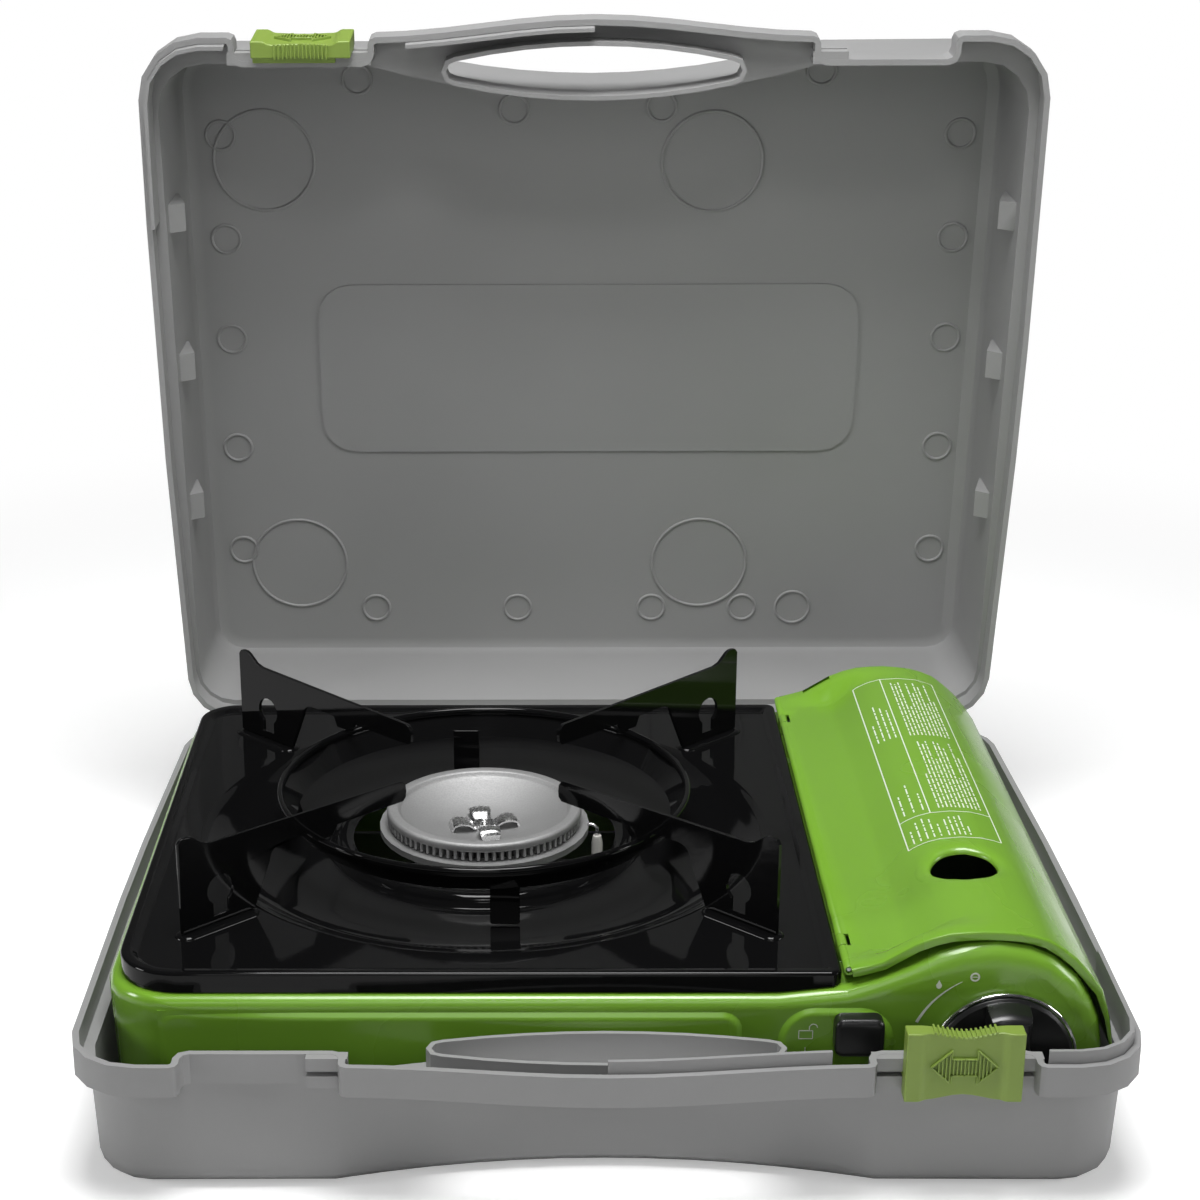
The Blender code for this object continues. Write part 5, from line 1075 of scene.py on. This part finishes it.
class STOVE_OT_body(bpy.types.Operator):
    """Raise the two pressed panels on the body's front and roll down the edge of the cover's window"""

    bl_idname = "stove.body"
    bl_label = "Body panels"

    def execute(self, context):
        low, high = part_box("stove_body")
        for name, (left, right, bottom, top, radius, fade) in FRONT_PANELS.items():
            columns = round((right - left) / PANEL_STEP)
            lines = round((top - bottom) / PANEL_STEP)
            rows = []
            for line in range(lines + 1):
                z = bottom + (top - bottom) * line / lines
                face = low.y + FACE_LEAN * (high.z - FACE_TOP - z) / high.z
                row = []
                for column in range(columns + 1):
                    x = left + (right - left) * column / columns
                    depth = inside_rounded(x, z, left, right, bottom, top, radius)
                    rise = PANEL_RISE * (smooth((x - left) / fade) if fade else 1.0)
                    y = face + PANEL_SINK - (rise + PANEL_SINK) * smooth(depth / PANEL_EDGE)
                    row.append((x, y, z))
                rows.append(row)
            panel = rounded(skin(name, rows, False, PANEL_SHEET), 0.0, smooth_deg=60.0)
            finish_piece(panel, "green_enamel", body_of("stove_body"))
        self.window()
        return {"FINISHED"}

    def window(self):
        """Open the cover's window wider and roll its edge down to the size of the hole."""
        cover = bpy.data.objects["cartridge_cover_fine"]
        tree = surface_tree(cover)
        turns = full_turn(96)
        rim = [polar(SIGHT_HOLE, SIGHT_CUT, turn) for turn in turns]
        cutter = stack("window_cutter", [[(x, y, z) for x, y in rim] for z in (0.078, 0.1)])
        side = SIGHT_CUT + SIGHT_REACH
        rows = []
        for radius, depth in SIGHT_ROLL:
            row = []
            for turn in turns:
                x, y = polar(SIGHT_HOLE, radius, turn)
                share = (y - SIGHT_HOLE[1] + side) / (2 * side)
                near, far = (
                    tree.ray_cast(Vector((x, SIGHT_HOLE[1] + way * side, 0.2)), Vector((0, 0, -1)))[0].z
                    for way in (-1, 1)
                )
                row.append((x, y, near + (far - near) * share - depth))
            rows.append(row)
        whole = link_mesh("cover_before", cover.data)
        shaded_as(carve(cover, cutter), whole)
        edge = rounded(skin("cover_window_edge", rows, True, SIGHT_SHEET), 0.0, smooth_deg=30.0)
        finish_piece(edge, "green_enamel", body_of("cartridge_cover"))


# ====================================================================== latches
ARROW = (                    # right half of the double arrow, from its middle
    (0.0, 0.0031), (0.0044, 0.0031), (0.0044, 0.0062), (0.0112, 0.0), (0.0044, -0.0062),
    (0.0044, -0.0031), (0.0, -0.0031),
)
ARROW_LINE = 0.00050
ARROW_RISE = 0.00110
BAR_PITCH = 0.00125          # between the bars inside the arrow
SHAFT_HALF, SHAFT_REACH, POINT_END = 0.0044, 0.0024, 0.0106       # where those bars end
RIB = (0.00078, 0.0060, 0.0013)           # size of a grip rib
HOLLOW_HALF, HOLLOW_EDGE, HOLLOW_DEPTH = 0.0138, 0.0034, 0.0014
WAIST_DIP, WAIST_HALF = 0.0022, 0.01397   # depth and half length of the dip in a latch's long edges


def outlined(name, points, width, y_front, rise, closed=True):
    """A raised line of this width along a path in the XZ plane."""
    made = []
    path = list(points) + ([points[0]] if closed else [])
    for (x0, z0), (x1, z1) in zip(path, path[1:]):
        length = math.hypot(x1 - x0, z1 - z0)
        dx, dz = (x1 - x0) / length * width / 2, (z1 - z0) / length * width / 2
        quad = [
            (x0 - dx - dz, z0 - dz + dx), (x1 + dx - dz, z1 + dz + dx),
            (x1 + dx + dz, z1 + dz - dx), (x0 - dx + dz, z0 - dz - dx),
        ]
        rings = [[(x, y, z) for x, z in quad] for y in (y_front + rise, y_front - rise)]
        made.append(stack(f"{name}_line", rings))
    return merge_into(made[0], *made[1:])


class STOVE_OT_latches(bpy.types.Operator):
    """Make the two sliding latches with their grip ribs and arrows"""

    bl_idname = "stove.latches"
    bl_label = "Latches"

    def execute(self, context):
        sizes = context.scene.stove_sizes
        row = row_group()
        lid = lid_matrix()
        places = (
            ("base_latch", Matrix.Identity(4), middle_of("base_latch")[0]),
            ("lid_latch", lid, (lid.inverted() @ Vector(middle_of("lid_latch"))).x),
        )
        for node, matrix, middle in places:
            self.latch(node, matrix, middle, sizes, row)
        return {"FINISHED"}

    def latch(self, node, matrix, middle, sizes, row):
        """Shape a latch at the height and depth of the tray's one, then move it by the matrix."""
        low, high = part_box("base_latch")
        front, middle_z = low.y, (low.z + high.z) / 2
        plate = merged_copy(node)
        hollow = [(-HOLLOW_HALF - HOLLOW_EDGE, front - 0.002), (HOLLOW_HALF + HOLLOW_EDGE, front - 0.002)]
        for step in range(25):
            x = (HOLLOW_HALF + HOLLOW_EDGE) * (1 - step / 12)
            share = smooth((HOLLOW_HALF + HOLLOW_EDGE / 2 - abs(x)) / HOLLOW_EDGE)
            hollow.append((x, front - 0.0001 + (HOLLOW_DEPTH + 0.0001) * share))
        rings = [[(middle + x, y, z) for x, y in hollow] for z in (low.z - 0.01, high.z + 0.01)]
        cutter = stack("hollow", rings, matrix)
        carve(plate, cutter)
        rounded(plate, 0.0007, 3, 18.0)
        finish_piece(plate, "latch_plastic", body_of(node), node)
        face = front + HOLLOW_DEPTH
        arrow = list(ARROW) + [(-x, z) for x, z in reversed(ARROW[1:-1])]
        lines = outlined(
            "arrow", [(middle + x, middle_z + z) for x, z in arrow], ARROW_LINE, face, ARROW_RISE
        )
        bars = []
        for step in range(-8, 9):
            x = step * BAR_PITCH
            reach = SHAFT_REACH if abs(x) < SHAFT_HALF else (POINT_END - abs(x)) * 0.9
            if reach > 0.0006 and abs(abs(x) - SHAFT_HALF) > 0.0003:
                bars.append(outlined(
                    "bar", [(middle + x, middle_z - reach), (middle + x, middle_z + reach)],
                    ARROW_LINE, face, ARROW_RISE, closed=False,
                ))
        merge_into(lines, *bars)
        lines.name = f"{node}_arrow"
        rounded(lines, 0.00012, 1)
        lines.data.transform(matrix)
        finish_piece(lines, "latch_plastic", body_of(node))
        reach = sizes.rib_pitch * (sizes.rib_count - 1) / 2
        ribs = grown(
            f"{node}_ribs",
            row,
            {
                "Count": sizes.rib_count,
                "Start": (middle - reach, (front + high.y) / 2 - 0.0008, high.z),
                "Pitch": (sizes.rib_pitch, 0.0, 0.0),
                "Bar": RIB,
                "Dip": WAIST_DIP,
                "Span": math.pi * reach / WAIST_HALF,
                "Material": look("latch_plastic"),
            },
        )
        rounded(ribs, 0.0002)
        ribs.data.transform(matrix)
        finish_piece(ribs, "latch_plastic", body_of(node))


# ====================================================================== lid
LID_MARKS = (                # radius, and (to the right, up from the hinge) of each round mark
    (0.00625, ((-0.161, 0.062), (0.161, 0.062), (-0.161, 0.113), (0.161, 0.113), (-0.161, 0.165),
               (0.161, 0.165), (-0.161, 0.211), (0.161, 0.211), (-0.161, 0.257), (0.161, 0.257),
               (-0.0996, 0.032), (-0.0325, 0.032), (0.031, 0.032), (0.074, 0.032),
               (-0.1006, 0.281), (-0.033, 0.268), (0.031, 0.269), (0.0994, 0.2846))),
    (0.0080, ((0.098, 0.032),)),
    (0.0220, ((-0.1425, 0.246), (0.0537, 0.245), (-0.135, 0.055), (0.053, 0.055))),
)
LID_FLOOR = -0.0058          # inside of the lid's floor, in the closed case


def lid_joint():
    return next(j for j in frame["joints"] if j["name"] == "lid_hinge")


def lid_matrix():
    """From the closed case, with the lid's moulding the right way up like the tray, to the open lid."""
    joint = lid_joint()
    _, y, z = joint["pos_m"]
    opened = math.radians(joint["range_deg"][1])
    upright = Matrix.Translation((0.0, y, z)) @ Matrix.Rotation(-opened, 4, "X")
    turned = Matrix.Translation((0.0, -y, 0.0)) @ Matrix.Rotation(math.pi, 4, "Y")
    return upright @ turned @ Matrix.Translation((0.0, 0.0, -z))


class STOVE_OT_lid_marks(bpy.types.Operator):
    """Raise the round mould marks on the inside of the lid"""

    bl_idname = "stove.lid_marks"
    bl_label = "Lid marks"

    def execute(self, context):
        wire = context.scene.stove_sizes.hoop_wire
        hinge_y = lid_joint()["pos_m"][1]
        group = hoops_group()
        for number, (radius, places) in enumerate(LID_MARKS):
            points = [(-x, hinge_y - up, LID_FLOOR) for x, up in places]
            marks = grown(
                f"lid_marks_{number}",
                group,
                {"Radius": radius, "Wire": wire, "Material": look("case_plastic")},
                points,
            )
            marks.data.transform(lid_matrix())
            rounded(marks, 0.0, smooth_deg=60.0)
            finish_piece(marks, "case_plastic", body_of("case_lid"))
        return {"FINISHED"}


# ====================================================================== printed markings
def surface_tree(*objects):
    """A search tree over finished surfaces, to lay printed lines on."""
    bm = bmesh.new()
    for obj in objects:
        bm.from_mesh(obj.data)
    tree = BVHTree.FromBMesh(bm)
    bm.free()
    return tree


def printed(name, tree, strips, origin, direction, across, lift=0.00008):
    """Flat strips laid on a surface. Each strip is two rails of points in the plane of the print."""
    bm = bmesh.new()
    for left, right in strips:
        pairs = []
        for a, b in zip(left, right):
            pair = []
            for u, v in (a, b):
                start = Vector(origin) + Vector(across[0]) * u + Vector(across[1]) * v
                place, normal, _, _ = tree.ray_cast(start, Vector(direction))
                if place is None:
                    raise ValueError(f"{name}: a printed line misses its surface at {u:.4f}, {v:.4f}")
                if normal.dot(Vector(direction)) > 0:
                    normal = -normal
                pair.append(bm.verts.new(place + normal * lift))
            pairs.append(pair)
        for (a, b), (c, d) in zip(pairs, pairs[1:]):
            bm.faces.new((a, b, d, c))
    obj = from_bmesh(name, bm, outward=False)
    for face in obj.data.polygons:
        if face.normal.dot(Vector(direction)) > 0:
            face.flip()
    sheet = obj.modifiers.new("ink", "SOLIDIFY")
    sheet.thickness = lift * 0.6
    sheet.offset = 1.0
    applied(obj)
    obj.data.shade_flat()
    return obj


def line_strip(start, end, width, steps=1):
    """A straight strip between two points of the print."""
    (x0, y0), (x1, y1) = start, end
    length = math.hypot(x1 - x0, y1 - y0)
    nx, ny = -(y1 - y0) / length * width / 2, (x1 - x0) / length * width / 2
    left, right = [], []
    for i in range(steps + 1):
        x, y = x0 + (x1 - x0) * i / steps, y0 + (y1 - y0) * i / steps
        left.append((x + nx, y + ny))
        right.append((x - nx, y - ny))
    return left, right


def arc_strip(centre, radius, start_deg, end_deg, width, end_width=None, steps=24):
    end_width = width if end_width is None else end_width
    left, right = [], []
    for i in range(steps + 1):
        t = i / steps
        turn = math.radians(start_deg + (end_deg - start_deg) * t)
        half = (width + (end_width - width) * t) / 2
        for rail, r in ((left, radius + half), (right, radius - half)):
            rail.append(polar(centre, r, turn))
    return left, right


LABEL = (0.1160, 0.1505, -0.0440, 0.1240)     # left, right, front and back of the frame on the cover
LABEL_DIVIDER = 0.1275
LABEL_FOOT = -0.0200
BAR_RUNS = (0.0042, 0.0024, 0.0057, 0.0031, 0.0016, 0.0049)     # lengths of the bars in a row, in turn
BAR_GAP, BAR_SHORTEST = 0.0012, 0.0008
DIAL_ARC = (0.0335, 156.0, 118.0)         # radius, first and last angle
DIAL_RING = (0.1274, 0.0748, 0.0014)      # right, up and radius
DIAL_DROP = (0.1151, 0.0716)
# half width and height along the drop
DROP = ((0.0, 0.0021), (0.0005, 0.0010), (0.0010, 0.0001), (0.0007, -0.0009), (0.0, -0.0013))
PADLOCK = (0.0697, 0.0528)
PADLOCK_HALF, PADLOCK_TALL, SHACKLE = 0.0024, 0.0032, 0.0012


class STOVE_OT_markings(bpy.types.Operator):
    """Print the plain lines and signs on the cover and beside the dial"""

    bl_idname = "stove.markings"
    bl_label = "Markings"

    def execute(self, context):
        line = context.scene.stove_sizes.label_line
        self.label(line)
        self.dial_signs(line)
        return {"FINISHED"}

    def label(self, line):
        """A plain frame with rows of plain bars where instructions would be."""
        left, right, front, back = LABEL
        strips = []
        for x in (left, right):
            strips.append(line_strip((x, front), (x, back), line, 40))
        for y in (front, LABEL_FOOT, back):
            strips.append(line_strip((left, y), (right, y), line, 24))
        strips.append(line_strip((LABEL_DIVIDER, LABEL_FOOT), (LABEL_DIVIDER, back), line, 30))
        wide, narrow = LABEL_DIVIDER + 0.004, left + 0.0025
        blocks = (           # left, right, front and back, and how long each row is
            (wide, right - 0.003, 0.058, 0.119,
             (1.0, 0.97, 1.0, 0.55, 0.98, 0.8, 1.0, 0.93, 0.62, 1.0, 0.7)),
            (wide, right - 0.003, -0.016, 0.051,
             (0.5, 1.0, 0.96, 1.0, 0.72, 1.0, 0.98, 0.9, 0.45, 1.0, 0.8)),
            (narrow, LABEL_DIVIDER - 0.002, 0.058, 0.096, (0.5, 1.0, 0.9, 0.8)),
            (narrow, LABEL_DIVIDER - 0.002, -0.016, 0.010, (0.7, 1.0, 0.6)),
            (narrow, LABEL_DIVIDER + 0.001, -0.0415, -0.0235, (0.6, 1.0, 1.0, 0.9, 0.6)),
            (wide, right - 0.011, -0.0415, -0.0235, (0.8, 1.0, 0.9, 1.0, 0.5)),
        )
        for x0, x1, y0, y1, shares in blocks:
            for number, share in enumerate(shares):
                x = x0 + (x1 - x0) * number / (len(shares) - 1)
                at, end, turn = y0, y0 + (y1 - y0) * share, number
                while at < end - BAR_SHORTEST:
                    run = BAR_RUNS[turn % len(BAR_RUNS)]
                    strips.append(line_strip((x, at), (x, min(at + run, end)), line * 1.25, 3))
                    at += run + BAR_GAP
                    turn += 1
        cover = bpy.data.objects["cartridge_cover_fine"]
        label = printed(
            "cover_label", surface_tree(cover), strips, (0.0, 0.0, 0.2), (0.0, 0.0, -1.0),
            ((1.0, 0.0, 0.0), (0.0, 1.0, 0.0)),
        )
        finish_piece(label, "green_enamel", body_of("cartridge_cover"), paint="marking")

    def dial_signs(self, line):
        centre = middle_of("control_knob")[::2]
        radius, start, end = DIAL_ARC
        strips = [arc_strip(centre, radius, start, end, 2.6 * line, 0.5 * line)]
        x, z, size = DIAL_RING
        strips.append(arc_strip((x, z), size, 0, 360, 1.5 * line))
        strips.append(line_strip((x - size, z), (x + size, z), 0.7 * line, 4))
        x, z = DIAL_DROP
        curve = spline(DROP, 4)
        left = [(x - dx, z + dz) for dx, dz in curve]
        strips.append((left, [(x + dx + 0.00001, z + dz) for dx, dz in curve]))
        x, z = PADLOCK
        foot, top, half = z - PADLOCK_TALL / 2, z + PADLOCK_TALL / 2, PADLOCK_HALF
        box = [(x - half, foot), (x + half, foot), (x + half, top), (x - half, top)]
        lines = list(zip(box, box[1:] + box[:1]))
        lines.append(((x + SHACKLE, top), (x + SHACKLE, top + SHACKLE)))
        lines.append(((x, z - 0.0050), (x, z - 0.0080)))
        strips += [line_strip(a, b, 0.7 * line, 2) for a, b in lines]
        strips.append(arc_strip((x + 0.0026, top + SHACKLE), 0.0014, 180, 0, 0.7 * line, steps=8))
        faces = [bpy.data.objects[name] for name in ("stove_body_fine", "front_panel_right")]
        signs = printed(
            "dial_signs", surface_tree(*faces), strips, (0.0, -0.2, 0.0), (0.0, 1.0, 0.0),
            ((1.0, 0.0, 0.0), (0.0, 0.0, 1.0)),
        )
        finish_piece(signs, "green_enamel", body_of("stove_body"), paint="marking")


STEPS = (
    "stove.stage", "stove.surfaces", "stove.pan", "stove.burner", "stove.body", "stove.latches",
    "stove.lid_marks", "stove.markings",
)


class STOVE_PT_panel(bpy.types.Panel):
    """Colours, sizes and stage, and the steps that build the scene"""

    bl_idname = "STOVE_PT_panel"
    bl_label = "Camping stove"
    bl_space_type = "VIEW_3D"
    bl_region_type = "UI"
    bl_category = "Stove"

    def draw(self, context):
        scene = context.scene
        for title, group in (
            ("Colours", scene.stove_colours),
            ("Sizes", scene.stove_sizes),
            ("Stage", scene.stove_stage),
        ):
            box = self.layout.box()
            box.label(text=title)
            for key in group.bl_rna.properties.keys():
                if key not in {"rna_type", "name"}:
                    box.prop(group, key)
        column = self.layout.column(align=True)
        for step in STEPS:
            column.operator(step)


CLASSES = (
    StoveColours,
    StoveSizes,
    StoveStage,
    STOVE_OT_stage,
    STOVE_OT_surfaces,
    STOVE_OT_pan,
    STOVE_OT_burner,
    STOVE_OT_body,
    STOVE_OT_latches,
    STOVE_OT_lid_marks,
    STOVE_OT_markings,
    STOVE_PT_panel,
)


def register():
    for cls in CLASSES:
        bpy.utils.register_class(cls)
    bpy.types.Scene.stove_colours = bpy.props.PointerProperty(type=StoveColours)
    bpy.types.Scene.stove_sizes = bpy.props.PointerProperty(type=StoveSizes)
    bpy.types.Scene.stove_stage = bpy.props.PointerProperty(type=StoveStage)


def unregister():
    del bpy.types.Scene.stove_stage
    del bpy.types.Scene.stove_sizes
    del bpy.types.Scene.stove_colours
    for cls in reversed(CLASSES):
        bpy.utils.unregister_class(cls)


def main():
    register()
    bpy.ops.stove.stage()
    bpy.ops.stove.surfaces()
    bpy.ops.stove.pan()
    bpy.ops.stove.burner()
    bpy.ops.stove.body()
    bpy.ops.stove.latches()
    bpy.ops.stove.lid_marks()
    bpy.ops.stove.markings()


if __name__ == "__main__":
    main()
